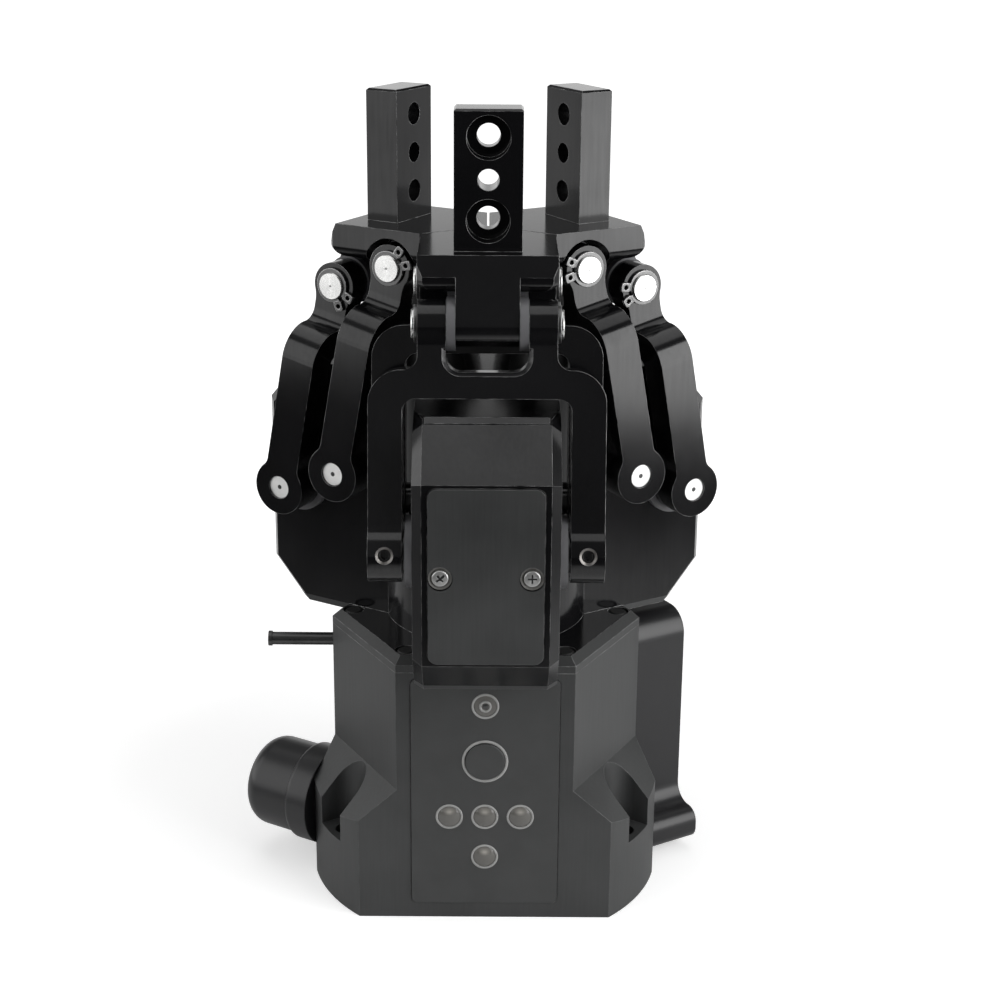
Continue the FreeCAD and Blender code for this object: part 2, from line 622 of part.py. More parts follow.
def drill_screw_holes(body):
    """Holes for the motor screws and the head screws from above and the cover screws from below."""
    motor = on_circle("motor_screw_circle_r")
    heads = circles_at(motor, "small_head_r + fit_gap")
    pocket(body, "motor_heads", draw(body, "motor_head_circles", XY, offset="housing_top", circles=heads),
           "small_head_thick + fit_gap")
    pocket(body, "motor_holes", draw(body, "motor_hole_circles", XY, offset="bay_top",
                                     circles=circles_at(motor, "small_screw_r + fit_gap")), reverse=True)
    cover = circles_at(on_circle("cover_disc_screw_r"), "small_screw_r")
    pocket(body, "cover_holes", draw(body, "cover_hole_circles", XY, circles=cover),
           "small_screw_length + cover_disc_thick", reverse=True)
    head = circles_at(beside_cases(), "small_screw_r")
    pocket(body, "head_holes", draw(body, "head_hole_circles", XY, offset="housing_top", circles=head),
           "small_screw_length")


def make_bottom_cover():
    """Disc that closes the motor bay, with three screws sunk flush."""
    body = new_body("bottom_cover", in_sector(0))
    places = on_circle("cover_disc_screw_r")
    pad(body, "disc", draw(body, "disc_circle", XY, circles=[("0", "0", "cover_disc_r")]), "cover_disc_thick")
    pocket(body, "holes", draw(body, "hole_circles", XY,
                               circles=circles_at(places, "small_screw_r + fit_gap")), reverse=True)
    heads = circles_at(places, "small_head_r + fit_gap")
    pocket(body, "heads", draw(body, "head_circles", XY, circles=heads), "small_head_thick", reverse=True)
    make_small_screws("bottom_screws", places, "small_head_thick", -Z_AXIS)


def make_small_screws(label, places, seat_z, axis):
    """Small machine screws with their head seats at one height."""
    sizes = ("small_head_r", "small_head_thick", "small_screw_r", "small_screw_length")
    shape = [number(size) for size in sizes]
    seats = [Vector(number(x), number(y), number(seat_z)) for x, y in places]
    group(label, [placed(screw(seat, axis, *shape), 0) for seat in seats])


def make_motor():
    """Motor that hangs from the roof of its bay on three screws, with a bore for the drive screw."""
    body = new_body("motor", in_sector(0))
    step = "motor_r / 6"
    profile = [("0", "motor_bottom"), (f"motor_r - {step}", "motor_bottom"),
               (f"motor_r - {step}", f"motor_bottom + {step}"), ("motor_r", f"motor_bottom + {step}"),
               ("motor_r", "motor_top"), ("0", "motor_top")]
    revolve(body, "can", draw(body, "can_profile", XZ, [profile]), "Z_Axis")
    pocket(body, "shaft_bore", draw(body, "shaft_circle", XY, offset="motor_top", circles=[
        ("0", "0", "journal_r + running_gap")]), "journal_seat")
    places = on_circle("motor_screw_circle_r")
    pocket(body, "threads", draw(body, "thread_circles", XY, offset="motor_top",
                                 circles=circles_at(places, "small_screw_r")), "small_screw_length")
    make_small_screws("motor_screws", places, "housing_top - small_head_thick - fit_gap", Z_AXIS)


# Controls on the front facet

def lens_places():
    """Middle of each indicator on the panel, sideways and up."""
    row = [(side, "lens_row_z") for side in ("-lens_spacing", "0", "lens_spacing")]
    return [("0", "lens_top_z")] + row + [("0", "lens_low_z")]


def make_panel():
    """Control panel with a hole for the release button and for each indicator."""
    body = new_body("control_panel", in_sector(0))
    pad(body, "plate", draw(body, "plate_outline", YZ, [panel_outline("0")], offset="panel_back_r"),
        "panel_thick")
    holes = [("0", "button_z", "button_r + fit_gap")] + circles_at(lens_places(), "lens_r + fit_gap")
    pocket(body, "holes", draw(body, "hole_circles", YZ, circles=holes), reverse=True)


def make_lenses():
    """Domed indicator lenses, each held behind the panel by its rim."""
    radius, back, face = number("lens_r"), number("panel_back_r"), number("panel_face_r + lens_proud")
    rim = number("fit_gap") + number("lens_r") / 4
    dome = number("lens_proud")
    profile = [(back - rim, 0), (back - rim, radius + rim), (back, radius + rim), (back, radius)]
    for turn in (0, 22.5, 45, 67.5, 90):
        angle = math.radians(turn)
        profile.append((face - dome * (1 - math.sin(angle)), radius * math.cos(angle)))
    lenses = []
    for side, height in lens_places():
        lens = turned(profile, Vector(0, number(side), number(height)), X_AXIS, Z_AXIS)
        lenses.append(placed(lens, 0))
    group("indicator_lenses", lenses)


def make_release_button():
    """Round push button with a flange behind the panel and a stem that enters the switch."""
    body = new_body("release_button", f"{in_sector(0)} * placement(vector(0; 0; button_z); rotationz(0))")
    back = "panel_back_r - running_gap"
    profile = [("switch_face_r - stem_reach", "0"), ("switch_face_r - stem_reach", "stem_r"),
               (f"{back} - button_flange", "stem_r"), (f"{back} - button_flange", "button_r + button_flange"),
               (back, "button_r + button_flange"), (back, "button_r"),
               ("panel_face_r + button_proud", "button_r", "button_proud / 2"),
               ("panel_face_r + button_proud", "0")]
    revolve(body, "cap", draw(body, "cap_profile", XZ, [profile]), "X_Axis")


def make_board():
    """Controller board at the back of its pocket, with the release switch on it."""
    board = new_body("controller_board", in_sector(0))
    outline = box("-board_width / 2", "board_width / 2", "board_bottom", "board_top")
    pad(board, "plate", draw(board, "plate_outline", YZ, [outline], offset="board_seat_r"), "board_thick")
    switch = new_body("release_switch", in_sector(0))
    half = "switch_width / 2"
    square = box(f"-{half}", half, f"button_z - {half}", f"button_z + {half}")
    pad(switch, "case", draw(switch, "case_outline", YZ, [square], offset="switch_seat_r"), "switch_thick")
    pocket(switch, "stem_hole", draw(switch, "stem_circle", YZ, circles=[
        ("0", "button_z", "stem_r + fit_gap")]), reverse=True)


# Gear head

def make_gear_head():
    """Head casting: a flange, a core for the rack and three gear cases round it."""
    body = new_body("gear_head", in_sector(0))
    pad(body, "flange", draw(body, "flange_outline", XY, [hexagon()], offset="housing_top"),
        "flange_top - housing_top")
    top = number("flange_top")
    dress(body, "Chamfer", "flange_edge", "flange_bevel",
          lambda one, two: near(one.z, top) and near(two.z, top))
    pad(body, "core", draw(body, "core_circle", XY, circles=[("0", "0", "core_r")], offset="housing_top"),
        "head_top - housing_top")
    case = pad(body, "case", draw(body, "case_outline", XZ, [case_outline()]), "case_width", symmetric=True)
    boss = pad(body, "boss", draw(body, "boss_circle", XZ, circles=[
        ("follow_pivot_r", "follow_pivot_z", "axle_boss_r")]), "2 * boss_end", symmetric=True)
    three_times(body, "cases", [case, boss])
    dress(body, "Chamfer", "case_edges", "case_edge", case_side_edge)
    hollow_gear_head(body)
    fit_gear_head(body)


def case_outline():
    """Side view of a gear case, from its underside round to its top."""
    cut_z = "head_top - top_bevel_cut * slope_drop / slope_run"
    return [("0", "case_bottom"), ("lower_bevel_r", "case_bottom"), ("case_face_r", "lower_bevel_z"),
            ("case_face_r", "slope_z"), ("slope_r + top_bevel_cut", cut_z),
            ("slope_r - top_bevel_run", "head_top"), ("0", "head_top")]


def case_side_edge(one, two):
    """True for the edges between a case's side and its bevels, face and slope."""
    corners = [(number(r), number(z)) for r, z in case_outline()[1:-1]]
    half = number("case_half")
    for index in range(len(SECTORS)):
        back = FreeCAD.Rotation(Z_AXIS, -120 * index)
        first, last = back.multVec(one), back.multVec(two)
        along_side = near(abs(first.y), half) and near(first.y, last.y)
        on_outline = [any(near(end.x, r) and near(end.z, z) for r, z in corners) for end in (first, last)]
        if along_side and all(on_outline):
            return True
    return False


def hollow_gear_head(body):
    """Chambers for the rack and the sector gears, open at the front of each case."""
    pocket(body, "rack_bore", draw(body, "rack_circle", XY, circles=[("0", "0", "rack_bore_r")],
                                   offset="cavity_floor"), "cavity_top - cavity_floor", reverse=True)
    lip = "1.5 * cover_thick"
    low, high, back = f"lower_bevel_z + {lip}", f"slope_z - {lip}", f"case_face_r - {lip}"
    front = f"case_face_r + {lip}"
    inside = [("0", "cavity_floor"), ("lower_bevel_r", "cavity_floor"), (back, low), (front, low),
              (front, high), (back, high), (f"slope_r - {lip}", "cavity_top"), ("0", "cavity_top")]
    chamber = pocket(body, "chamber", draw(body, "chamber_outline", XZ, [inside]), "chamber_width",
                     symmetric=True)
    shaft = pocket(body, "shaft_hole", draw(body, "shaft_circle", XZ, circles=[
        ("drive_pivot_r", "drive_pivot_z", "shaft_r + fit_gap")]), "case_width", symmetric=True)
    originals = [chamber, shaft]
    bush = [("drive_pivot_r", "drive_pivot_z", "bush_r")]
    axle = [("follow_pivot_r", "follow_pivot_z", "axle_r")]
    for name, sign, inwards in (("near", "", False), ("far", "-", True)):
        circle = draw(body, f"{name}_bush_circle", XZ, circles=bush, offset=f"{sign}case_half")
        originals.append(pocket(body, f"{name}_bush_seat", circle, "bush_length", reverse=inwards))
        circle = draw(body, f"{name}_axle_circle", XZ, circles=axle, offset=f"{sign}(boss_end)")
        originals.append(pocket(body, f"{name}_axle_seat", circle, "boss_end - case_half + axle_seat",
                                reverse=inwards))
    originals.append(pocket(body, "cover_seat", draw(body, "cover_outline", YZ, [cover_outline("fit_gap")],
                                                     offset="case_face_r"), "cover_inset"))
    screws = circles_at(cover_screw_places(), "cover_screw_r")
    originals.append(pocket(body, "cover_threads", draw(body, "cover_thread_circles", YZ, circles=screws,
                                                        offset="cover_seat_r"),
                            "cover_screw_length - cover_thick + dish_depth + fit_gap"))
    three_times(body, "chambers", originals)


def fit_gear_head(body):
    """Seats in the head for the screw bearing, the guide rods and the screws that hold it down."""
    pocket(body, "screw_hole", draw(body, "screw_circle", XY, circles=[("0", "0", "screw_r + fit_gap")]),
           "cavity_floor", reverse=True)
    pocket(body, "bearing_seat", draw(body, "bearing_circle", XY, circles=[("0", "0", "bearing_r")]),
           "housing_top + bearing_thick", reverse=True)
    rods = circles_at(on_circle("guide_circle_r"), "guide_r")
    pocket(body, "rod_seats", draw(body, "rod_circles", XY, circles=rods, offset="cavity_floor - guide_seat"),
           "cavity_top - cavity_floor + 2 * guide_seat", reverse=True)
    places = beside_cases()
    holes = circles_at(places, "small_screw_r + fit_gap")
    pocket(body, "head_holes", draw(body, "head_hole_circles", XY, circles=holes), "flange_top", reverse=True)
    pocket(body, "head_seats", draw(body, "head_seat_circles", XY, offset="flange_top",
                                    circles=circles_at(places, "small_head_r + fit_gap")), "small_head_thick")
    make_small_screws("head_screws", places, "flange_top - small_head_thick", Z_AXIS)


def cover_outline(gap):
    return box(f"-cover_width / 2 - {gap}", f"cover_width / 2 + {gap}",
               f"cover_bottom - {gap}", f"cover_top + {gap}", "cover_corner")


def cover_screw_places():
    return [("cover_screw_side", "cover_screw_z"), ("-cover_screw_side", "cover_screw_z")]


def make_case_covers():
    """A plate over the front of each gear case, held by two pan head screws in shallow dishes."""
    sizes = ("cover_head_r", "cover_head_thick", "cover_screw_r", "cover_screw_length")
    shape = [number(size) for size in sizes]
    screws = []
    for index, sector in enumerate(SECTORS):
        body = new_body(f"case_cover_{sector}", in_sector(index))
        pad(body, "plate", draw(body, "plate_outline", YZ, [cover_outline("0")], offset="cover_seat_r"),
            "cover_thick")
        places = cover_screw_places()
        holes = circles_at(places, "cover_screw_r + fit_gap")
        pocket(body, "holes", draw(body, "hole_circles", YZ, circles=holes), reverse=True)
        pocket(body, "dishes", draw(body, "dish_circles", YZ, circles=circles_at(places, "dish_r"),
                                    offset="cover_face_r"), "dish_depth")
        for side, height in places:
            seat = Vector(number("dish_face_r"), number(side), number(height))
            screws.append(placed(screw(seat, X_AXIS, *shape), index))
    group("cover_screws", screws)


def make_pivots_on_cases():
    """Flanged bushes for the drive shafts and axles for the following links, two to a case."""
    wall, gap = number("case_half"), number("running_gap")
    bore, inside, outside = number("shaft_r") + gap, number("bush_r"), number("bush_flange_r")
    start, end = wall - number("bush_length"), wall + number("bush_flange_thick")
    bush = [(start, bore), (start, inside), (wall, inside), (wall, outside), (end, outside), (end, bore)]
    tip = number("leg_outer - axle_recess")
    radius, chamfer = number("axle_r"), number("pin_chamfer")
    axle = [(wall - number("axle_seat"), 0), (wall - number("axle_seat"), radius), (tip - chamfer, radius),
            (tip, radius - chamfer), (tip, 0)]
    drive = Vector(number("drive_pivot_r"), 0, number("drive_pivot_z"))
    follow = Vector(number("follow_pivot_r"), 0, number("follow_pivot_z"))
    bushes = []
    axles = []
    for index in range(len(SECTORS)):
        for axis in (Y_AXIS, -Y_AXIS):
            bushes.append(placed(turned(bush, drive, axis, Z_AXIS), index))
            axles.append(placed(turned(axle, follow, axis, Z_AXIS), index))
    group("shaft_bushes", bushes)
    group("follower_axles", axles)


# Central drive

def make_drive_screw():
    """Drive screw from the motor up into the rack, with the bearing under its shoulder."""
    body = new_body("drive_screw", in_sector(0))
    foot = "motor_top - journal_seat + fit_gap"
    shoulder = "housing_top + bearing_thick + fit_gap"
    profile = [("0", foot), ("journal_r", foot), ("journal_r", shoulder), ("screw_r", shoulder),
               ("screw_r", "screw_top - pin_chamfer"), ("screw_r - pin_chamfer", "screw_top"),
               ("0", "screw_top")]
    revolve(body, "screw", draw(body, "screw_profile", XZ, [profile]), "Z_Axis")
    bearing = new_body("screw_bearing", in_sector(0))
    hole = "journal_r + running_gap"
    top = "housing_top + bearing_thick"
    dip = "bearing_thick / 8"
    third = "(bearing_r - journal_r) / 3"
    ring = [(hole, "housing_top"), ("bearing_r", "housing_top"), ("bearing_r", top),
            (f"bearing_r - {third}", top), (f"bearing_r - {third}", f"{top} - {dip}"),
            (f"journal_r + {third}", f"{top} - {dip}"), (f"journal_r + {third}", top), (hole, top)]
    revolve(bearing, "rings", draw(bearing, "ring_profile", XZ, [ring]), "Z_Axis")


def make_rack():
    """Round rack: rings of teeth about the screw, guided on three rods and driven by its nut."""
    module, pitch_r, flank = number("gear_module"), number("rack_pitch_r"), number("tan(pressure_angle)")
    pitch = math.pi * module
    bottom, top, centre_z = number("rack_bottom"), number("rack_top"), number("drive_pivot_z")
    half = pitch / 4 - number("backlash") / 4
    root_depth = number("dedendum") * module
    tip_r, root_r = pitch_r + module, pitch_r - root_depth
    profile = [(bottom, number("nut_r")), (bottom, root_r)]
    for step in range(-int((centre_z - bottom) / pitch), 1):
        middle = centre_z + step * pitch
        tip_half, root_half = half - module * flank, half + root_depth * flank
        profile += [(middle - root_half, root_r), (middle - tip_half, tip_r), (middle + tip_half, tip_r),
                    (middle + root_half, root_r)]
    nut_end = bottom + number("nut_length")
    free_r = number("screw_r + rack_room")
    profile += [(top, root_r), (top, free_r), (nut_end, free_r), (nut_end, number("nut_r"))]
    rack = turned(profile, Vector(), Z_AXIS, X_AXIS)
    rods = []
    for turn in SCREW_TURNS:
        place = around(number("guide_circle_r"), turn, number("cavity_floor - guide_seat"))
        length = number("cavity_top - cavity_floor + 2 * guide_seat")
        rack = rack.cut(Part.makeCylinder(number("guide_r + running_gap"), length, place, Z_AXIS))
        rods.append(placed(Part.makeCylinder(number("guide_r"), length, place, Z_AXIS), 0))
    group("ring_rack", [placed(rack, 0)])
    group("guide_rods", rods)
    nut = new_body("screw_nut", in_sector(0))
    bore, end = "screw_r + running_gap", "rack_bottom + nut_length"
    ring = [(bore, "rack_bottom"), ("nut_r", "rack_bottom"), ("nut_r", end), (bore, end)]
    revolve(nut, "ring", draw(nut, "ring_profile", XZ, [ring]), "Z_Axis")


def involute(angle):
    return math.tan(angle) - angle


def make_sector_gear(index, sector):
    """Sector gear with involute teeth, in mesh with the rack on the line of centres."""
    teeth, pitch_r, module = number("gear_teeth"), number("gear_pitch_r"), number("gear_module")
    slant = math.radians(number("pressure_angle"))
    base_r, tip_r, root_r = pitch_r * math.cos(slant), pitch_r + module, pitch_r - number("dedendum") * module
    half_tooth = (math.pi * module / 2 - number("backlash") / 2) / (2 * pitch_r)
    step = 2 * math.pi / teeth
    centre = Vector(number("drive_pivot_r"), 0, number("drive_pivot_z"))

    def spot(radius, angle):
        """Point at an angle below the inward direction."""
        return centre + Vector(-radius * math.cos(angle), 0, -radius * math.sin(angle))

    def half_angle(radius):
        """Half the tooth's angle at a radius on its involute flank."""
        return half_tooth + involute(slant) - involute(math.acos(min(1, base_r / radius)))

    radii = [root_r, max(root_r, base_r), pitch_r, tip_r]
    first, last = -int(number("teeth_above")), int(number("teeth_below"))
    points = [spot(root_r / 4, first * step), spot(root_r, first * step)]
    for tooth in range(first, last):
        middle = (tooth + 0.5) * step
        points += [spot(radius, middle - half_angle(radius)) for radius in radii]
        points += [spot(radius, middle + half_angle(radius)) for radius in reversed(radii)]
    points += [spot(root_r, last * step), spot(root_r / 4, last * step)]
    width = number("gear_width")
    side = Y_AXIS * (-width / 2)
    face = Part.Face(Part.makePolygon([point + side for point in points + points[:1]]))
    hub = Part.makeCylinder(number("gear_hub_r"), width, centre + side, Y_AXIS)
    gear = face.extrude(Y_AXIS * width).fuse(hub)
    gear = gear.cut(Part.makeCylinder(number("shaft_r"), width, centre + side, Y_AXIS)).removeSplitter()
    group(f"sector_gear_{sector}", [placed(gear.Solids[0], index)])


def make_drive_shaft(index, sector):
    """Stepped shaft through the gear case that carries the sector gear and the driven yoke."""
    body = new_body(f"drive_shaft_{sector}",
                    f"{in_sector(index)} * placement(vector(drive_pivot_r; 0; drive_pivot_z); rotationz(0))")
    step, end = "leg_inner - 2 * fit_gap", "leg_outer - axle_recess"
    profile = [("0", f"-({end})"), ("axle_r - pin_chamfer", f"-({end})"),
               ("axle_r", f"-({end} - pin_chamfer)"), ("axle_r", f"-({step})"),
               ("shaft_r", f"-({step})"), ("shaft_r", step), ("axle_r", step),
               ("axle_r", f"{end} - pin_chamfer"), ("axle_r - pin_chamfer", end), ("0", end)]
    revolve(body, "shaft", draw(body, "shaft_profile", XY, [profile]), "Y_Axis")


# Links

def make_yoke(index, label, pivot_r, pivot_z, driven):
    """Forked link: two legs beside the gear case, shoulders, a neck and a notch for the jaw's tongue."""
    body = new_body(label, on_link(index, pivot_r, pivot_z))
    width = "2 * leg_outer"
    half = "arm_width / 2"
    arm = box(f"-{half}", half, "0", "link_length")
    pad(body, "arms", draw(body, "arm_outline", XZ, [arm]), width, symmetric=True)
    pad(body, "eyes", draw(body, "eye_circles", XZ, circles=[
        ("0", "0", "lower_eye_r"), ("0", "link_length", "upper_eye_r")]), width, symmetric=True)
    side = number(half)
    low = number("sqrt(lower_eye_r ^ 2 - (arm_width / 2) ^ 2)")
    high = number("link_length - sqrt(upper_eye_r ^ 2 - (arm_width / 2) ^ 2)")

    def arm_edge(one, two, height):
        """True for the two edges at a height where an arm runs into an eye."""
        across = near(one.x, two.x) and near(one.z, two.z)
        return across and near(abs(one.x), side) and near(one.z, height)

    dress(body, "Fillet", "lower_fillets", "lower_eye_fillet", lambda one, two: arm_edge(one, two, low))
    dress(body, "Fillet", "upper_fillets", "upper_eye_fillet", lambda one, two: arm_edge(one, two, high))
    above = "link_length + 2 * upper_eye_r"
    below = "-2 * lower_eye_r"
    window = [("-leg_inner", below), ("leg_inner", below), ("leg_inner", "window_top", "window_corner"),
              ("-leg_inner", "window_top", "window_corner")]
    notch = [("-notch_half", "notch_floor", "notch_corner"), ("notch_half", "notch_floor", "notch_corner"),
             ("notch_half", above), ("-notch_half", above)]
    cuts = [window, notch]
    for sign in ("", "-"):
        leg_end = "yoke_shoulder - shoulder_round - fit_gap"
        cuts.append([(f"{sign}neck_half", above), (f"{sign}neck_half", "yoke_shoulder", "neck_fillet"),
                     (f"{sign}leg_outer", "yoke_shoulder", "shoulder_round"), (f"{sign}leg_outer", leg_end),
                     (f"{sign}1.2 * leg_outer", leg_end), (f"{sign}1.2 * leg_outer", above)])
    pocket(body, "front_cuts", draw(body, "front_outline", YZ, cuts), symmetric=True)
    rim_floor, rim_corner = "notch_floor - notch_rim", "notch_corner + notch_rim"
    left, right = "-(notch_half + notch_rim)", "notch_half + notch_rim"
    rim = [(left, rim_floor, rim_corner), (right, rim_floor, rim_corner), (right, "arm_end"), (left, "arm_end")]
    for name, face, inwards in (("front_rim", half, False), ("back_rim", "-" + half, True)):
        outline = draw(body, f"{name}_outline", YZ, [rim], offset=face)
        bevel = pocket(body, name, outline, "notch_rim", reverse=inwards)
        bevel.TaperAngle = -45
    lower_bore = "axle_r" if driven else "axle_r + running_gap"
    pocket(body, "bores", draw(body, "bore_circles", XZ, circles=[
        ("0", "0", lower_bore), ("0", "link_length", "pin_r + running_gap")]), symmetric=True)
    if driven:
        pocket(body, "set_screw_holes", draw(body, "set_screw_circles", YZ, circles=[
            ("leg_middle", "0", "set_screw_r"), ("-leg_middle", "0", "set_screw_r")]), reverse=True)


def make_set_screws(index, sector):
    """Set screws that clamp the driven yoke's legs to the shaft, with hexagon sockets."""
    lean = FreeCAD.Rotation(Y_AXIS, -number("link_lean"))
    link = FreeCAD.Placement(Vector(number("drive_pivot_r"), 0, number("drive_pivot_z")), lean)
    radius, length = number("set_screw_r"), number("set_screw_length")
    start, socket_r = number("axle_r"), number("set_screw_socket_r")
    screws = []
    for sign in (1, -1):
        foot = Vector(start, sign * number("leg_middle"), 0)
        socket = [foot + X_AXIS * length + FreeCAD.Rotation(X_AXIS, 60 * turn).multVec(Z_AXIS * socket_r)
                  for turn in range(6)]
        shape = Part.makeCylinder(radius, length, foot, X_AXIS)
        shape = shape.cut(Part.Face(Part.makePolygon(socket + socket[:1])).extrude(X_AXIS * (-length / 2)))
        shape.Placement = link.multiply(shape.Placement)
        screws.append(placed(shape.Solids[0], index))
    group(f"set_screws_{sector}", screws)


# Jaws

def make_jaw(index, sector):
    """Jaw milled in one piece: a wedge plate, a tongue for the two pins and a finger."""
    body = new_body(f"jaw_{sector}", in_sector(index))
    wedge = [("seam_tip_r", "0"), ("seam_end_r", "-plate_half"), ("plate_end_r", "-plate_half"),
             ("plate_end_r", "plate_half"), ("seam_end_r", "plate_half")]
    pad(body, "plate", draw(body, "plate_outline", XY, [wedge], offset="plate_bottom"), "plate_thick")
    top, bottom = number("plate_top"), number("plate_bottom")
    end, half = number("plate_end_r"), number("plate_half")
    dress(body, "Fillet", "lower_sides", "plate_round",
          lambda one, two: all(near(point.z, bottom) and near(abs(point.y), half) for point in (one, two)))
    dress(body, "Chamfer", "end_edges", "plate_edge",
          lambda one, two: near(one.x, end) and near(two.x, end) and not near(one.z + two.z, 2 * top))
    outside = [("plate_crest_r", "plate_top"), ("touch_r", "touch_z"), ("2 * touch_r", "touch_z"),
               ("2 * touch_r", "plate_top + plate_thick"), ("plate_crest_r", "plate_top + plate_thick")]
    pocket(body, "slope", draw(body, "slope_outline", XZ, [outside]), symmetric=True)
    pocket(body, "arch", draw(body, "arch_circle", XZ, circles=[("inner_pin_r", "inner_pin_z", "arch_r")]),
           symmetric=True)
    tongue_start = "inner_pin_r - tongue_inner_r"
    tongue = [(tongue_start, "inner_pin_z"), ("inner_pin_r", "inner_pin_z - tongue_inner_r"),
              ("outer_pin_r - tongue_r", "outer_pin_z"), ("outer_pin_r", "outer_pin_z"), ("touch_r", "touch_z"),
              ("plate_crest_r", "plate_top"), (tongue_start, "plate_top")]
    pad(body, "tongue", draw(body, "tongue_outline", XZ, [tongue]), "tongue_width", symmetric=True)
    pad(body, "tongue_ends", draw(body, "tongue_circles", XZ, circles=[
        ("outer_pin_r", "outer_pin_z", "tongue_r"), ("inner_pin_r", "inner_pin_z", "tongue_inner_r")]),
        "tongue_width", symmetric=True)
    reach = "2 * tongue_r"
    across, up = "sin(tongue_flat_turn)", "cos(tongue_flat_turn)"
    below = []
    for away, sign in (("tongue_flat", "-"), ("tongue_flat", "+"), (reach, "+"), (reach, "-")):
        below.append((f"outer_pin_r + {away} * {up} {sign} {reach} * {across}",
                      f"outer_pin_z - {away} * {across} {sign} {reach} * {up}"))
    pocket(body, "tongue_flat", draw(body, "flat_outline", XZ, [below]), symmetric=True)
    pocket(body, "pin_bores", draw(body, "pin_circles", XZ, circles=[
        ("outer_pin_r", "outer_pin_z", "pin_r"), ("inner_pin_r", "inner_pin_z", "pin_r")]), symmetric=True)
    add_finger(body)


def add_finger(body):
    """Upright finger with two counterbored screw holes and a dowel hole between them."""
    block = box("finger_inner_r", "finger_outer_r", "-finger_width / 2", "finger_width / 2")
    pad(body, "finger", draw(body, "finger_outline", XY, [block], offset="plate_top"), "finger_height")
    top = number("finger_top")
    dress(body, "Chamfer", "finger_edges", "finger_edge",
          lambda one, two: near(one.z, top) and near(two.z, top))
    first = "finger_top - finger_hole_drop"
    heights = [first, f"{first} - finger_hole_pitch", f"{first} - 2 * finger_hole_pitch"]
    radii = ["finger_hole_r", "finger_dowel_r", "finger_hole_r"]
    pocket(body, "finger_holes", draw(body, "finger_hole_circles", YZ, circles=[
        ("0", height, radius) for height, radius in zip(heights, radii)]), reverse=True)
    heads = [("0", height, "counterbore_r") for height in (heights[0], heights[2])]
    pocket(body, "counterbores", draw(body, "counterbore_circles", YZ, circles=heads, offset="finger_outer_r"),
           "counterbore_depth")


def pin_middles():
    return [Vector(number("outer_pin_r"), 0, number("outer_pin_z")),
            Vector(number("inner_pin_r"), 0, number("inner_pin_z"))]


def make_jaw_pins(index, sector):
    """The jaw's two pivot pins, with a centre hole and a groove for a retaining ring at each end."""
    radius, end, chamfer = number("pin_r"), number("pin_half"), number("pin_chamfer")
    centre = number("pin_centre_r")
    ring_at, width, neck = number("neck_half + fit_gap"), number("ring_thick"), number("pin_r - groove_depth")
    half = [(ring_at, radius), (ring_at, neck), (ring_at + width, neck), (ring_at + width, radius),
            (end - chamfer / 2, radius), (end, radius - chamfer / 2), (end, centre), (end - centre, 0)]
    profile = [(-along, size) for along, size in reversed(half)] + half
    pins = [turned(profile, middle, Y_AXIS, Z_AXIS) for middle in pin_middles()]
    group(f"pivot_pins_{sector}", [placed(pin, index) for pin in pins])


def retaining_ring(middle, side, turn):
    """Open ring with two drilled lugs beside its gap, which points inwards and rises by an angle."""
    inner, outer, thick = number("pin_r - groove_depth"), number("ring_r"), number("ring_thick")
    width, reach, apart = number("ring_lug_width"), number("ring_lug_reach"), number("ring_lug_turn")
    start = number("neck_half + fit_gap")
    face = middle + Y_AXIS * (start if side > 0 else -start - thick)

    def bar(length, across, angle):
        """Flat bar from the ring's centre inwards, turned upwards by an angle."""
        shape = Part.makeBox(length, thick, across, Vector(-length, 0, -across / 2))
        shape.Placement = FreeCAD.Placement(face, FreeCAD.Rotation(Y_AXIS, angle))
        return shape

    ring = Part.makeCylinder(outer, thick, face, Y_AXIS)
    for angle in (turn - apart, turn + apart):
        ring = ring.fuse(bar(reach + width / 2, width, angle))
    ring = ring.cut(Part.makeCylinder(inner, thick, face, Y_AXIS))
    ring = ring.cut(bar(2 * outer, number("ring_gap"), turn))
    for angle in (turn - apart, turn + apart):
        hole = face - FreeCAD.Rotation(Y_AXIS, angle).multVec(X_AXIS) * reach
        ring = ring.cut(Part.makeCylinder(number("ring_lug_hole_r"), thick, hole, Y_AXIS))
    return ring.removeSplitter().Solids[0]


def make_jaw_hardware(index, sector):
    """Retaining rings outside a yoke's neck and thrust washers beside the tongue, on both pins."""
    rings = []
    washers = []
    inner, outer = number("pin_r + running_gap"), number("washer_r")
    tongue, notch = number("tongue_half"), number("notch_half - fit_gap")
    washer = [(tongue, inner), (tongue, outer), (notch, outer), (notch, inner)]
    for middle, turn in zip(pin_middles(), (number("outer_ring_turn"), number("inner_ring_turn"))):
        for side, axis in ((1, Y_AXIS), (-1, -Y_AXIS)):
            rings.append(placed(retaining_ring(middle, side, turn), index))
            washers.append(placed(turned(washer, middle, axis, Z_AXIS), index))
    group(f"retaining_rings_{sector}", rings)
    group(f"thrust_washers_{sector}", washers)


# Pieces on the rear facets

def make_connector_housing():
    """Box on the right facet whose sides flare into two feet."""
    body = new_body("connector_housing", in_sector(1))
    foot_top = "side_foot_bottom + side_foot_thick"
    half_outline = [("side_foot_half", "side_foot_bottom", "side_foot_round"),
                    ("side_foot_half", foot_top, "side_foot_round"),
                    ("side_box_half", foot_top, "side_foot_fillet"),
                    ("side_box_half", "side_box_top", "side_box_round")]
    outline = half_outline + [("-" + side, height, radius) for side, height, radius in reversed(half_outline)]
    pad(body, "box", draw(body, "box_outline", YZ, [outline], offset="facet_distance"),
        "side_box_r - facet_distance")


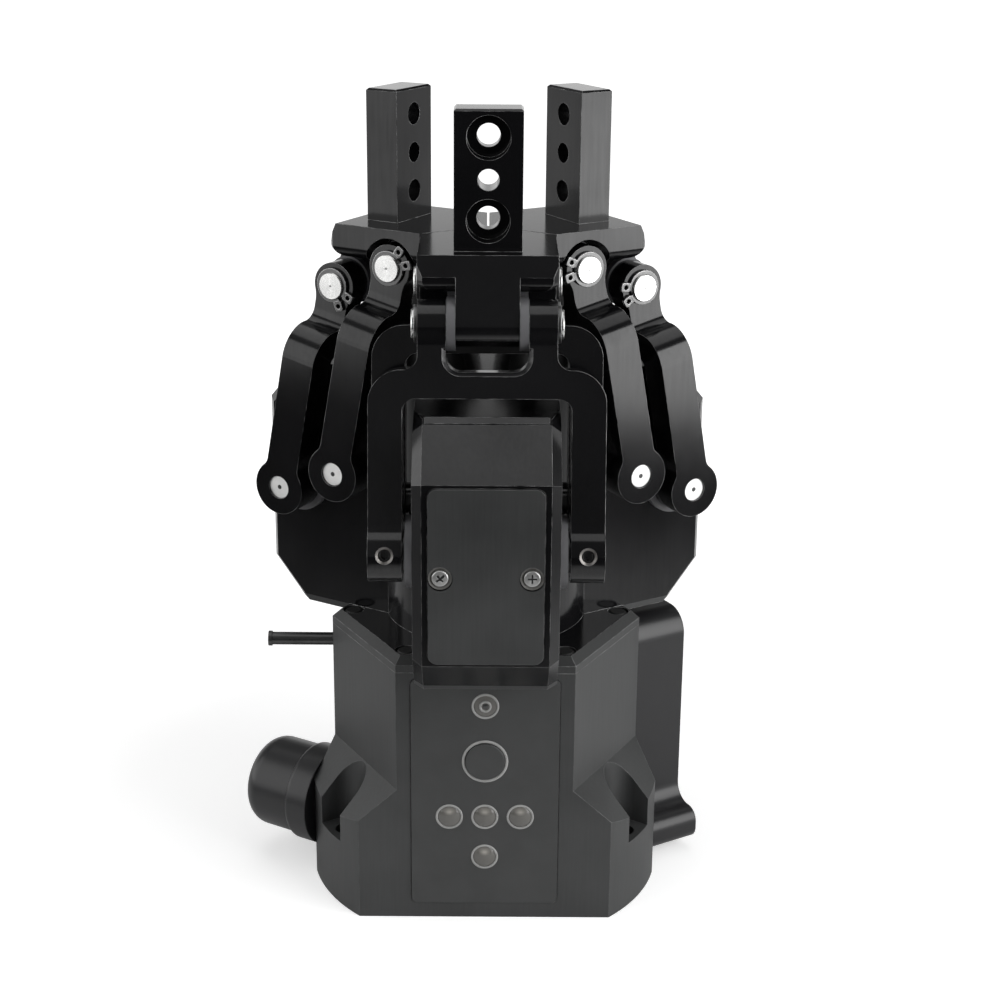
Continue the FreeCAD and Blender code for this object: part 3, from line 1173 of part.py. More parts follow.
def make_cable_post():
    """Thin round post with a small head, set at an angle on the left facet."""
    turn = math.radians(number("post_turn"))
    along = Vector(math.cos(turn), math.sin(turn), 0)
    foot = Vector(number("facet_distance"), number("post_side"), number("post_z"))
    radius, length, head_thick = number("post_r"), number("post_length"), number("post_head_thick")
    buried = 4 * radius
    rod = Part.makeCylinder(radius, length + buried, foot - along * buried, along)
    head = Part.makeCylinder(number("post_head_r"), head_thick, foot + along * (length - head_thick), along)
    side = 4 * buried
    behind = Part.makeBox(side, side, side, foot - Vector(side, side / 2, side / 2))
    group("cable_post", [placed(rod.fuse(head).cut(behind).removeSplitter().Solids[0], 2)])


def make_cable_entry():
    """Round cable entry with a rounded nose, seated on the left facet."""
    body = new_body("cable_entry",
                    f"{in_sector(2)} * placement(vector(facet_distance; entry_side; entry_z); rotationz(0))")
    profile = [("0", "entry_bore_r"), ("entry_length", "entry_bore_r"),
               ("entry_length", "entry_nose_r", "entry_round"), ("entry_seat", "entry_nose_r"),
               ("entry_seat", "entry_r", "entry_round / 4"), ("0", "entry_r")]
    revolve(body, "nose", draw(body, "nose_profile", XZ, [profile]), "X_Axis")


make_base_housing()
make_bottom_cover()
make_motor()
make_panel()
make_lenses()
make_release_button()
make_board()
make_gear_head()
make_case_covers()
make_pivots_on_cases()
make_drive_screw()
make_rack()
for sector_index, sector_name in enumerate(SECTORS):
    make_sector_gear(sector_index, sector_name)
    make_drive_shaft(sector_index, sector_name)
    make_yoke(sector_index, f"drive_yoke_{sector_name}", "drive_pivot_r", "drive_pivot_z", True)
    make_yoke(sector_index, f"follower_yoke_{sector_name}", "follow_pivot_r", "follow_pivot_z", False)
    make_set_screws(sector_index, sector_name)
    make_jaw(sector_index, sector_name)
    make_jaw_pins(sector_index, sector_name)
    make_jaw_hardware(sector_index, sector_name)
make_connector_housing()
make_cable_post()
make_cable_entry()
doc.recompute()

for item in doc.Objects:
    if "Invalid" in item.State or "Error" in item.State:
        raise RuntimeError(f"{item.Label} did not compute: {item.State}")
os.makedirs("parts", exist_ok=True)
for node in nodes:
    if node.Shape.isNull() or not node.Shape.isValid():
        raise RuntimeError(f"{node.Label} has no valid shape")
    node.Shape.exportStep(f"parts/{node.Label}.step")
    print(node.Label, len(node.Shape.Solids), round(node.Shape.Volume), node.Shape.BoundBox)
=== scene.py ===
"""Looks of the three-jaw electric gripper: finishes for its parts, small fittings and a plain studio."""
import json
import math

import bmesh
import bpy
import numpy as np
from mathutils import Matrix, Vector


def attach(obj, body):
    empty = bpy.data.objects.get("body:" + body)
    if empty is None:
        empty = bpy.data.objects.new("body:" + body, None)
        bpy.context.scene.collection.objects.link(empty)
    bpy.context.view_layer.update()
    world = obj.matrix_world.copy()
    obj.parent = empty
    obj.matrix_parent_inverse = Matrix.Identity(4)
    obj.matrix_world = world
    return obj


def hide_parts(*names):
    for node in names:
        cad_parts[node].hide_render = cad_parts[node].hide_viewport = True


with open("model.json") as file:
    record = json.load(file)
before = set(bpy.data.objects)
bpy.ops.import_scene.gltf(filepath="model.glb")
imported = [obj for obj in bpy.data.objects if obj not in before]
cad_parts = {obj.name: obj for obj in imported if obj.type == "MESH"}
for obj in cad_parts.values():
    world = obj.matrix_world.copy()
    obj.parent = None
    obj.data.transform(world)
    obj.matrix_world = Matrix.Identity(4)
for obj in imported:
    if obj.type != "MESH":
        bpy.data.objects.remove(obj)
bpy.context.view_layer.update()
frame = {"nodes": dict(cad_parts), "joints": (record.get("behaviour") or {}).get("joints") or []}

bl_info = {
    "name": "Three-jaw gripper looks",
    "version": (1, 0, 0),
    "blender": (4, 5, 0),
    "location": "View3D > Sidebar > Gripper",
    "description": "Finishes, fittings and studio for a three-jaw electric gripper",
    "category": "Object",
}

MM = 0.001

# Small gaps, depths and edges of the fittings
MERGE_DISTANCE = 0.0001 * MM
TRIM_LIFT = 0.02 * MM
DISH_GAP = 0.02 * MM
DISH_THICKNESS = 0.05 * MM
CROSS_SLOPE = 0.1 * MM
# Depths of the dark prism that paints the shade in a cross recess
PAINTED_SHADE_TOP = 0.16 * MM
PAINTED_SHADE_BOTTOM = 0.6 * MM
LENS_BARREL = 0.5 * MM
UPPER_LENS_RISE = 0.1 * MM
LENS_MIDDLE_RISE = 0.2 * MM
END_THICKNESS = 0.55 * MM
RING_EDGE = 0.08 * MM
RING_TAPER = 0.2
MOUTH_LIFT = 0.03 * MM
MATT_EDGE = 0.03 * MM

# Directions of the sectors round the gripper's axis in degrees, and the two sides of a sector
SECTORS = {"front": -90.0, "right": 30.0, "left": 150.0}
SIDES = (-1, 1)

# Section of the lip on a gear case as outward and upward millimetres
LIP_OUTLINE = ((46.72, 136.9), (46.72, 137.42), (45.22, 138.53), (44.6, 137.9), (44.6, 136.9))

# Turns of the retaining rings on the outer and the inner pin in degrees
RING_TURNS = {
    ("front", -1): (-12, 18), ("front", 1): (9, -25),
    ("right", -1): (-14, 4), ("right", 1): (14, -8),
    ("left", -1): (6, 22), ("left", 1): (-50, 33),
}

# Turn in radians and wear of the cross recess that is chewed up, and of a sound one
CHEWED_CROSS = {("front", -1): (0.7, 0.35)}
SOUND_CROSS = (0.0, 0.0)

# Waves to the metre of the patterns in the finishes
WAVES = {
    "polish": 4200.0, "blast": 6500.0, "cloud": 45.0, "brush": 1600.0, "rubbing": 320.0, "streak": 2600.0,
    # The last pattern on the next line varies the painted highlight on the indicator lenses
    "tone": 130.0, "phosphate": 3000.0, "texture": 5200.0, "mottle": 160.0, "milk": 700.0,
}

# Match of an edge's rounded normal with its face, from a full edge to a sound face; the edges it marks are
# lighter on some finishes for wear, and on the anodised ones also for a painted highlight
EDGE_MATCH = (0.88, 0.995)

# Places, aims and sizes of the softboxes in metres
SOFTBOXES = {
    "right": {"place": (0.40, -0.23, 0.28), "aim": (0.0, 0.0, 0.28), "size": (0.42, 0.56)},
    "left": {"place": (-0.44, -0.14, 0.30), "aim": (0.0, 0.0, 0.30), "size": (0.75, 0.54)},
    "top": {"place": (0.0, 0.04, 0.85), "aim": (0.0, 0.04, 0.0), "size": (0.8, 0.95)},
}

# Slopes above the horizon and the brightness of the rear wall at each
REAR_WALL = ((0.12, 1.0), (0.19, 0.45), (0.25, 0.4), (0.272, 0.02), (1.0, 0.02))

# Floor in metres and its two tones
FLOOR_HALF = 4.0
FLOOR_MIDDLE = (0.04, 0.0, 0.0)
FLOOR_PALE = (0.86, 0.86, 0.86)
FLOOR_DARK = (0.05, 0.05, 0.05)

WHITE = (1.0, 1.0, 1.0, 1.0)
SENSOR_WIDTH = 36.0


def pivot(joint):
    """Distance from the gripper's axis and height of a joint of the frame."""
    across, back, height = next(item["pos_m"] for item in frame["joints"] if item["name"] == joint)
    return np.array((math.hypot(across, back), height))


# The links are parallel, so the inner pin is as far from the outer one as the two lower pivots
DRIVE_PIVOT = pivot("front_swing")
FOLLOWER_PIVOT = pivot("front_follower_swing")
OUTER_PIN = pivot("front_jaw_level")
INNER_PIN = OUTER_PIN + FOLLOWER_PIVOT - DRIVE_PIVOT


def colour(name, description, default):
    """A colour that a user may change."""
    return bpy.props.FloatVectorProperty(
        name=name, description=description, subtype="COLOR", size=3, min=0.0, max=1.0, default=default)


def number(name, description, default, subtype="NONE", **options):
    """A number that a user may change."""
    return bpy.props.FloatProperty(
        name=name, description=description, subtype=subtype, default=default, **options)


def length(name, description, millimetres):
    """A length that a user may change, given in millimetres."""
    return number(name, description, millimetres * MM, "DISTANCE", unit="LENGTH")


def share(name, description, default):
    """A number from 0 to 1 that a user may change."""
    return number(name, description, default, "FACTOR", min=0.0, max=1.0)


def angle_of(name, description, degrees):
    """An angle that a user may change, given in degrees."""
    return number(name, description, math.radians(degrees), "ANGLE")


class GripperFinishes(bpy.types.PropertyGroup):
    """Colours and gloss of the surfaces."""
    link_black: colour("Link black", "Black of the links, jaws and gear head", (0.004, 0.004, 0.0045))
    # Lighter edge grey of the links: wear and a painted edge highlight
    link_edge_wear_and_highlight: colour("Worn link", "Grey of the links' worn edges", (0.42, 0.42, 0.42))
    link_roughness: share("Link roughness", "Roughness of the links, jaws and gear head", 0.15)
    housing_grey: colour("Housing grey", "Grey black of the housing and covers", (0.031, 0.032, 0.0322))
    # Lighter edge grey of the housing: wear and a painted edge highlight
    housing_edge_wear_and_highlight: colour("Worn housing", "Grey of the housing's worn edges", (0.16, 0.16, 0.16))
    housing_roughness: share("Housing roughness", "Roughness of the housing and covers", 0.48)
    # Lighter grey of the dishes, with a lip below each screw: a painted highlight
    dish_highlight_grey: colour("Dish grey", "Lighter grey of the dishes round the cover screws", (0.085, 0.083, 0.078))
    # Lighter edge grey of the dishes: wear and a painted edge highlight
    dish_edge_wear_and_highlight: colour("Worn dish", "Grey of the dishes' worn edges", (0.14, 0.14, 0.14))
    flange_top: length("Flange top", "Height of the matt flange of the gear head", 72.78)
    panel_grey: colour("Panel grey", "Grey black of the control panel", (0.037, 0.038, 0.038))
    plastic_black: colour("Plastic black", "Black of the moulded plastic pieces", (0.012, 0.012, 0.013))
    steel: colour("Steel", "Bright turned steel", (0.8, 0.8, 0.79))
    face_steel: colour("Faced steel", "Light grey of the turned ends", (0.93, 0.93, 0.92))
    dark_steel: colour("Dark steel", "Blackened steel", (0.10, 0.10, 0.10))
    # The head screws' black also colours the painted shade in the cover screws' cross recesses
    screw_black_and_painted_shade: colour("Oxide black", "Black of the head screws", (0.006, 0.006, 0.006))
    washer_grey: colour("Washer grey", "Grey of the washers and bushes", (0.10, 0.10, 0.105))
    lens_grey: colour("Lens grey", "Grey of the unlit indicators", (0.13, 0.125, 0.115))
    ring_grey: colour("Ring grey", "Light grey of the rings on the panel", (0.29, 0.29, 0.285))
    screw_grey: colour("Screw grey", "Grey of the plated cover screws", (0.75, 0.75, 0.74))
    spring_grey: colour("Spring grey", "Grey of the retaining rings", (0.15, 0.15, 0.15))
    spring_worn: colour("Worn spring", "Bright grey of the rings' rubbed edges", (0.85, 0.85, 0.85))
    mouth_grey: colour("Mouth grey", "Grey of the set-screw holes' mouths", (0.22, 0.21, 0.20))
    board_green: colour("Board green", "Solder resist of the controller board", (0.01, 0.09, 0.04))
    brass: colour("Brass", "Brass of the screw nut", (0.62, 0.43, 0.16))
    edge_radius: length("Edge radius", "Radius of the broken edges", 0.22)


class GripperFittings(bpy.types.PropertyGroup):
    """Sizes and places of the small fittings."""
    head_radius: length("Screw head radius", "Radius of the cover screws' heads", 1.95)
    head_height: length("Screw head height", "Height of the cover screws' heads", 0.9)
    shank_radius: length("Screw shank radius", "Radius of the cover screws' shanks", 1.25)
    shank_length: length("Screw shank length", "Length of the cover screws' shanks", 4.0)
    screw_reach: length("Screw reach", "Distance of the cover screws' seats from the centre", 57.0)
    screw_side: length("Screw side", "Distance of a cover screw from the middle of its cover", 10.6)
    screw_height: length("Screw height", "Height of the cover screws over the floor", 103.55)
    cross_length: length("Cross length", "Half length of a cross recess", 1.15)
    cross_width: length("Cross width", "Half width of a cross recess", 0.21)
    cross_depth: length("Cross depth", "Depth of a cross recess", 0.85)
    dish_radius: length("Dish radius", "Radius of a cover screw's dish", 2.74)
    dish_depth: length("Dish depth", "Depth of a cover screw's dish", 0.58)
    # The lip below each dish shows its painted highlight
    dish_highlight_lip: length("Dish lip", "Width of the lip below a dish", 0.36)
    panel_reach: length("Panel reach", "Distance of the panel's face from the centre", 34.0)
    lens_top: length("Upper indicator height", "Height of the upper indicator", 60.0)
    lens_row: length("Indicator row height", "Height of the row of three indicators", 29.2)
    lens_low: length("Lower indicator height", "Height of the lowest indicator", 17.8)
    lens_step: length("Indicator step", "Distance between the indicators of the row", 9.0)
    lens_rise: length("Lens rise", "Height of an indicator's dome over the panel", 0.85)
    lens_ring: length("Indicator ring", "Inner radius of an indicator's ring", 2.88)
    ring_width: length("Ring width", "Width of an indicator's ring", 0.58)
    ring_height: length("Ring height", "Height of a ring over the panel", 0.16)
    inner_ring: length("Inner ring", "Inner radius of the upper indicator's small ring", 1.0)
    button_height: length("Button height", "Height of the release button", 44.8)
    button_ring: length("Button ring", "Inner radius of the button's ring", 5.12)
    button_width: length("Button ring width", "Width of the button's ring", 0.725)
    pin_end: length("Pin end", "Distance of the pins' ends from the middle of a jaw", 17.7)
    pin_face: length("Pin face", "Radius of a pin's turned end", 3.3)
    pin_hole: length("Pin hole", "Radius of the centre hole in a pin", 0.26)
    shaft_end: length("Shaft end", "Distance of the shafts' and axles' ends from the middle of a case", 27.2)
    shaft_face: length("Shaft face", "Radius of the turned end of a shaft or axle", 2.95)
    shaft_hole: length("Shaft hole", "Radius of the drilled centre of a shaft or axle", 0.6)
    groove_step: length("Groove step", "Distance between the turning grooves", 0.16)
    groove_depth: length("Groove depth", "Depth of the turning grooves", 0.0013)
    clip_start: length("Ring start", "Distance of the retaining rings from the middle of a jaw", 16.25)
    clip_thickness: length("Ring thickness", "Thickness of the retaining rings", 0.8)
    clip_inner: length("Ring inner radius", "Inner radius of the retaining rings", 3.3)
    clip_outer: length("Ring outer radius", "Outer radius of the retaining rings", 4.55)
    lug_reach: length("Lug reach", "Distance of a lug's hole from the middle of its ring", 5.4)
    lug_turn: angle_of("Lug turn", "Angle between a lug and the middle of its ring's gap", 20.5)
    lug_long: length("Lug length", "Half length of a lug along the ring's radius", 1.35)
    lug_wide: length("Lug width", "Half width of a lug", 1.15)
    lug_hole: length("Lug hole", "Radius of the hole in a lug", 0.6)
    eye_radius: length("Eye radius", "Radius of the eyes that the set screws sit in", 7.2)
    set_screw_side: length("Set screw side", "Distance of a set screw from the middle of its yoke", 23.6)
    mouth_radius: length("Mouth radius", "Radius of a set-screw hole's mouth", 2.12)
    mouth_bore: length("Mouth bore", "Radius of a set-screw hole below its mouth", 1.5)
    mouth_depth: length("Mouth depth", "Depth of a set-screw hole's mouth", 0.4)
    lip_half: length("Lip half length", "Half length of a gear case's lip", 14.5)
    link_lean: angle_of("Link lean", "Lean of the closed links towards the centre", 11.4)


class GripperStudio(bpy.types.PropertyGroup):
    """Camera and light."""
    camera_back: length("Camera distance", "Distance of the camera in front of the centre", 451.131)
    camera_height: length("Camera height", "Height of the camera", 261.555)
    camera_pitch: angle_of("Camera pitch", "Downward tilt of the camera", 17.742)
    camera_roll: angle_of("Camera roll", "Roll of the camera", 0.341)
    focal_length: number("Focal length", "Focal length on a 36 mm sensor", 66.4, "DISTANCE_CAMERA")
    shift: bpy.props.FloatVectorProperty(
        name="Shift", description="Sideways and upward shift of the view", size=2, default=(0.01309, -0.0544))
    right_light: number("Right light", "Power of the right softbox", 2.9, "POWER")
    left_light: number("Left light", "Power of the left softbox", 1.7, "POWER")
    top_light: number("Top light", "Power of the overhead softbox", 2.4, "POWER")
    room_light: number("Room light", "Brightness of the room behind", 1.0)
    front_light: number("Front light", "Brightness of the room in front", 0.12)


# Surfaces

def sector_frame(sector):
    """Outward, sideways and upward directions of a sector as rows."""
    turn = math.radians(SECTORS[sector])
    outward = (math.cos(turn), math.sin(turn), 0.0)
    sideways = (-math.sin(turn), math.cos(turn), 0.0)
    return np.array((outward, sideways, (0.0, 0.0, 1.0)))


def in_sector(sector, outward, sideways, upward):
    """A point of a sector's frame in the shared frame."""
    return np.array((outward, sideways, upward)) @ sector_frame(sector)


def on_pivot(sector, place, sideways):
    """A point beside a pivot of a sector in the shared frame."""
    return in_sector(sector, place[0], sideways, place[1])


def rotated(first, second, angle):
    """Two directions turned by an angle: cos * first + sin * second and cos * second - sin * first."""
    along = math.cos(angle) * first + math.sin(angle) * second
    return along, math.cos(angle) * second - math.sin(angle) * first


def full_turn(steps):
    """Angles of a full turn in equal steps."""
    return np.linspace(0.0, 2.0 * math.pi, steps, endpoint=False)


def unit_circle(angle, axes):
    """Points round the first axis: cos(angle) * second axis + sin(angle) * third axis."""
    return np.cos(angle)[:, None] * axes[1] + np.sin(angle)[:, None] * axes[2]


def grid_piece(name, grids, body, finish, smooth=True):
    """A piece from grids of points whose rows are closed loops and whose first and last rows may be poles.

    Quads join neighbouring rows and columns, the columns wrap round, and equal points are merged. The UV map
    "round" holds the share of a turn and of the rows.
    """
    points, quads, turns, start = [], [], [], 0
    for grid in grids:
        rows, columns = grid.shape[:2]
        row, column = np.meshgrid(np.arange(rows - 1), np.arange(columns), indexing="ij")
        after = (column + 1) % columns
        corners = (row * columns + column, row * columns + after, (row + 1) * columns + after,
                   (row + 1) * columns + column)
        quads.append(start + np.stack(corners, axis=-1).reshape(-1, 4))
        across = np.stack((column, column + 1, column + 1, column), axis=-1) / columns
        along = np.stack((row, row, row + 1, row + 1), axis=-1) / (rows - 1)
        turns.append(np.stack((across, along), axis=-1).reshape(-1, 2))
        points.append(grid.reshape(-1, 3))
        start += rows * columns
    mesh = bpy.data.meshes.new(name)
    mesh.from_pydata(np.concatenate(points).tolist(), [], np.concatenate(quads).tolist())
    mesh.uv_layers.new(name="round").data.foreach_set("uv", np.concatenate(turns).reshape(-1))
    merge_poles(mesh)
    mesh.polygons.foreach_set("use_smooth", np.full(len(mesh.polygons), smooth))
    mesh.materials.append(finish)
    piece = bpy.data.objects.new(name, mesh)
    bpy.context.scene.collection.objects.link(piece)
    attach(piece, body)
    return piece


def merge_poles(mesh):
    """Merge equal points and turn the faces outwards."""
    work = bmesh.new()
    work.from_mesh(mesh)
    bmesh.ops.remove_doubles(work, verts=work.verts, dist=MERGE_DISTANCE)
    bmesh.ops.recalc_face_normals(work, faces=work.faces)
    work.to_mesh(mesh)
    work.free()


def turned(profile, centre, axes, steps=96):
    """Surface of revolution: each (along, radius) point of the profile sweeps a circle round the axis."""
    along, radius = np.array(profile).T[..., None, None]
    return centre + along * axes[0] + radius * unit_circle(full_turn(steps), axes)


def printed_ring(inner, width, height):
    """Profile of a low ring on a face: flat on top, its edges cut back by half its height, closed below."""
    edge, outer = height / 2.0, inner + width
    inside = [(-edge, inner), (edge, inner), (height, inner + edge)]
    outside = [(height, outer - edge), (edge, outer), (-edge, outer)]
    return inside + outside + inside[:1]


def dome(radius, height, count=14):
    """Profile of a lens from pole to pole: height * (1 - (span / radius)^2) over a short barrel."""
    span = np.linspace(radius, 0.0, count)
    return [(-LENS_BARREL, 0.0), (-LENS_BARREL, radius), *zip(height * (1.0 - (span / radius) ** 2), span)]


def slot_width(fit, angle, wear):
    """Half width of a cross's slots: width * (1 + wear * (1 + sin(3 angle + 1) + 0.6 * sin(7 angle)))."""
    return fit.cross_width * (1.0 + wear * (1.0 + np.sin(3.0 * angle + 1.0) + 0.6 * np.sin(7.0 * angle)))


def cross_screw(fit, centre, axes, turn, wear, steps=160, rings=34):
    """Pan-head screw with a cross recess: a turned shank and rim, and a height field over the head.

    The head's height is that of a flat dome less depth * clamp(inside / slope) * (1 - taper * span / length),
    where inside is how far a point lies within one of the two crossed slots. Wear changes the slots by waves.
    """
    radius, height, shank_end = fit.head_radius, fit.head_height, -fit.shank_length
    # Shares of the head's height and radius at the foot and rounding of its rim and at the edge of its crown
    rim_foot, rim_rise, crown_foot = 0.45, 0.4, 0.87
    rim_flat, rim_round, crown_edge = 0.9, 0.1, 0.88
    taper, lengthening = 0.35, 0.3
    shank = [(shank_end, 0.0), (shank_end, fit.shank_radius), (0.0, fit.shank_radius), (0.0, radius)]
    bend = np.linspace(0.0, math.pi / 2, 6)
    rim = (height * (rim_foot + rim_rise * np.sin(bend)), radius * (rim_flat + rim_round * np.cos(bend)))
    crown = (height * np.linspace(crown_foot, 1.0, rings), np.linspace(crown_edge * radius, 0.0, rings))
    rise, span = np.concatenate((np.transpose(shank), rim, crown), axis=1)[..., None]
    around = full_turn(steps)
    first, second = np.abs(span * np.cos(around - turn)), np.abs(span * np.sin(around - turn))
    width = slot_width(fit, around, wear)
    reach = fit.cross_length * (1.0 + lengthening * wear * np.sin(2.0 * around))
    inside = np.maximum(np.minimum(width - first, reach - second), np.minimum(width - second, reach - first))
    depth = fit.cross_depth * (1.0 - taper * span / fit.cross_length)
    on_crown = np.arange(len(span))[:, None] >= len(span) - rings
    cut = np.where(on_crown, np.maximum(depth * np.clip(inside / CROSS_SLOPE, 0.0, 1.0), 0.0), 0.0)
    return centre + (rise - cut)[..., None] * axes[0] + span[..., None] * unit_circle(around, axes)


def cross_painted_shade(fit, centre, axes, turn, wear, steps=120):
    """Painted shade in a cross recess: a dark thin prism between two heights, with a pole at each end.

    Its polar radius is min(length / larger, width / smaller), made ragged by waves, where larger and smaller
    are those of |cos| and |sin| of the angle from a slot. It is a little shorter than the recess.
    """
    shorter, ragged, least = 0.98, 0.15, 1e-6
    angle = full_turn(steps)
    first, second = np.abs(np.cos(angle - turn)), np.abs(np.sin(angle - turn))
    along = shorter * fit.cross_length / np.maximum(first, second)
    beside = slot_width(fit, angle, wear) / np.maximum(np.minimum(first, second), least)
    radius = np.minimum(along, beside) * (1.0 + ragged * wear * np.sin(11.0 * angle))
    loop = radius[:, None] * unit_circle(angle, axes)
    low, high = [(fit.head_height - depth) * axes[0] for depth in (PAINTED_SHADE_BOTTOM, PAINTED_SHADE_TOP)]
    return centre + np.array((0.0 * loop + low, loop + low, loop + high, 0.0 * loop + high))


def dish_wall(fit, seat, axes):
    """Sloped wall of the dish round a cover screw, in a lighter grey that is a painted highlight: a closed
    turned shell, its outer edge shifted down so that the painted highlight shows as a lip below the screw.
    """
    depth, lift, thick = fit.dish_depth, TRIM_LIFT, DISH_THICKNESS
    inner, outer, drop = fit.head_radius + DISH_GAP, fit.dish_radius, fit.dish_highlight_lip / 2
    front = [(-depth, inner), (lift, outer), (lift, outer + drop)]
    rear = [(-thick, outer + drop), (-2.0 * thick, outer), (-depth - thick, inner)]
    grid = turned(front + rear + front[:1], seat + depth * axes[0], axes)
    grid[2:4, :, 2] -= drop
    return grid


def turned_end(fit, outer, hole):
    """Profile of a pin's turned end: depth * sin(2 pi radius / step) on a thin disc with a drilled centre."""
    points_per_groove, drill_tip = 5, 0.3
    count = int((outer - hole) / fit.groove_step) * points_per_groove
    radius = np.linspace(hole, outer, count)
    along = TRIM_LIFT + fit.groove_depth * np.sin(2.0 * math.pi * radius / fit.groove_step)
    back, bottom = -END_THICKNESS, drill_tip * hole
    return [(back, bottom), *zip(along, radius), (back, outer), (back, bottom)]


def saddle_cone(fit, centre, axes, steps=72):
    """Countersunk mouth of a hole in the side of an eye: a cone from mouth to hole, closed behind.

    A point's height over the eye's axis is sqrt(eye^2 - over^2) + lift, over being the way across the eye.
    """
    mouth, hole, depth = fit.mouth_radius, fit.mouth_bore, fit.mouth_depth
    front = [(mouth, MOUTH_LIFT), (hole, -depth)]
    rear = [(hole, -2.0 * depth), (mouth, -2.0 * depth)]
    span, lift = np.array(front + rear + front[:1]).T[..., None]
    turn = full_turn(steps)
    over, along = span * np.sin(turn), span * np.cos(turn)
    rise = np.sqrt(fit.eye_radius ** 2 - over ** 2) + lift
    return centre + rise[..., None] * axes[0] + along[..., None] * axes[1] + over[..., None] * axes[2]


def bar(outline, sector, half):
    """Straight bar across a sector: an outline of (outward, upward) points between two ends with poles."""
    outline = np.array(outline)
    pole = np.broadcast_to(outline.mean(axis=0), outline.shape)
    loops = np.array((pole, outline, outline, pole))
    side = np.broadcast_to(np.array((-half, -half, half, half))[:, None], loops.shape[:2])
    return np.stack((loops[..., 0], side, loops[..., 1]), axis=-1) @ sector_frame(sector)


def flat_strip(fit, near, far, angle, centre, axes):
    """Flat strip between two polar curves: a rectangle with cut edges carried round the first axis.

    The grid has a row for each of the rectangle's eight corners and a column for each angle.
    """
    thick, edge = fit.clip_thickness, RING_EDGE
    radius = np.array((near, near, near + edge, far - edge, far, far, far - edge, near + edge))
    along = np.array((edge, thick - edge, thick, thick, thick - edge, edge, 0.0, 0.0))
    return centre + along[:, None, None] * axes[0] + radius[..., None] * unit_circle(angle, axes)


def ring_band(fit, centre, axes, steps=72):
    """Open band of a retaining ring: a flat strip from one side of its gap to the other, with poles.

    Its outer radius is outer - (outer - inner) * taper * (1 + cos(angle)) / 2, least at the gap.
    """
    inner, outer, start = fit.clip_inner, fit.clip_outer, fit.lug_turn / 2
    angle = np.linspace(start, 2.0 * math.pi - start, steps)
    far = outer - (outer - inner) * RING_TAPER * (1.0 + np.cos(angle)) / 2.0
    grid = flat_strip(fit, np.full(steps, inner), far, angle, centre, axes).transpose(1, 0, 2)
    poles = np.broadcast_to(grid.mean(axis=1, keepdims=True), grid.shape)
    return np.concatenate((poles[:1], grid, poles[-1:]))


def ring_lug(fit, centre, axes, steps=64, power=5.0):
    """Drilled lug of a retaining ring: a flat strip between a round hole and a rounded square.

    The square is a superellipse of polar radius (|cos / long|^power + |sin / wide|^power)^(-1 / power).
    """
    angle = full_turn(steps)
    across, beside = np.abs(np.cos(angle) / fit.lug_long), np.abs(np.sin(angle) / fit.lug_wide)
    square = (across ** power + beside ** power) ** (-1 / power)
    grid = flat_strip(fit, np.full(steps, fit.lug_hole), square, angle, centre, axes)
    return np.concatenate((grid, grid[:1]))


def retaining_ring(fit, sector, side, place, turn):
    """Grids of one retaining ring on the end of a pin: its band and the lugs on both sides of its gap."""
    outward, sideways, upward = sector_frame(sector)
    centre = on_pivot(sector, place, side * fit.clip_start)
    gap, over = rotated(-outward, upward, turn)
    grids = [ring_band(fit, centre, (side * sideways, gap, over))]
    for way in SIDES:
        away, along = rotated(gap, over, way * fit.lug_turn)
        grids.append(ring_lug(fit, centre + fit.lug_reach * away, (side * sideways, away, along)))
    return grids


# Finishes

def feed(node, **values):
    """Set a node's options and sockets by name, and link what is given as a socket."""
    for key, value in values.items():
        socket = node.inputs.get(key.replace("_", " "))
        if socket is None:
            setattr(node, key, value)
        elif isinstance(value, bpy.types.NodeSocket):
            node.id_data.links.new(value, socket)
        else:
            socket.default_value = value
    return node


def add(tree, kind, **values):
    """Add a node with its options, constants and links."""
    return feed(tree.nodes.new(kind), **values)


def new_finish(name, base, roughness, metallic=0.0, specular=0.5):
    """A material with its constant values on the shader's own sockets, and its Object coordinates."""
    material = bpy.data.materials.new(name)
    material.use_nodes = True
    tree = material.node_tree
    shader = feed(tree.nodes["Principled BSDF"], Base_Color=(*base, 1.0), Roughness=roughness,
                  Metallic=metallic, Specular_IOR_Level=specular)
    return material, tree, shader, add(tree, "ShaderNodeTexCoord").outputs["Object"]


def noise(tree, place, pattern, detail=4.0):
    """Noise with the waves of a named pattern."""
    return add(tree, "ShaderNodeTexNoise", Vector=place, Scale=WAVES[pattern], Detail=detail).outputs["Fac"]


def spread(tree, value, low, high, start=0.3, end=0.7):
    """Map a value from start and end to low and high, held at both."""
    node = add(tree, "ShaderNodeMapRange", Value=value, From_Min=start, From_Max=end, To_Min=low, To_Max=high)
    return node.outputs["Result"]


def joined(tree, operation, first, second):
    """Join two values by a sum, a product or the larger one."""
    node = add(tree, "ShaderNodeMath", operation=operation)
    tree.links.new(first, node.inputs[0])
    tree.links.new(second, node.inputs[1])
    return node.outputs["Value"]


def parts_of(tree, vector):
    """X, Y and Z of a vector."""
    return add(tree, "ShaderNodeSeparateXYZ", Vector=vector).outputs


def mixed(tree, factor, first, second, kind="RGBA"):
    """Blend two colours, or two numbers of the kind FLOAT, by a factor; each is a socket or a constant."""
    node = add(tree, "ShaderNodeMix", data_type=kind, Factor=factor)
    socket_type = "RGBA" if kind == "RGBA" else "VALUE"
    for name, value in (("A", first), ("B", second)):
        socket = next(item for item in node.inputs if item.name == name and item.type == socket_type)
        if isinstance(value, bpy.types.NodeSocket):
            tree.links.new(value, socket)
        else:
            socket.default_value = (*value, 1.0) if kind == "RGBA" else value
    return next(item for item in node.outputs if item.type == socket_type)


def toned(base, factor):
    """A colour made lighter or darker."""
    return [channel * factor for channel in base]


def seen_straight(tree):
    """1 for what the camera sees directly or through a clear piece, and 0 for all other rays."""
    path = add(tree, "ShaderNodeLightPath")
    return joined(tree, "MAXIMUM", path.outputs["Is Camera Ray"], path.outputs["Is Transmission Ray"])


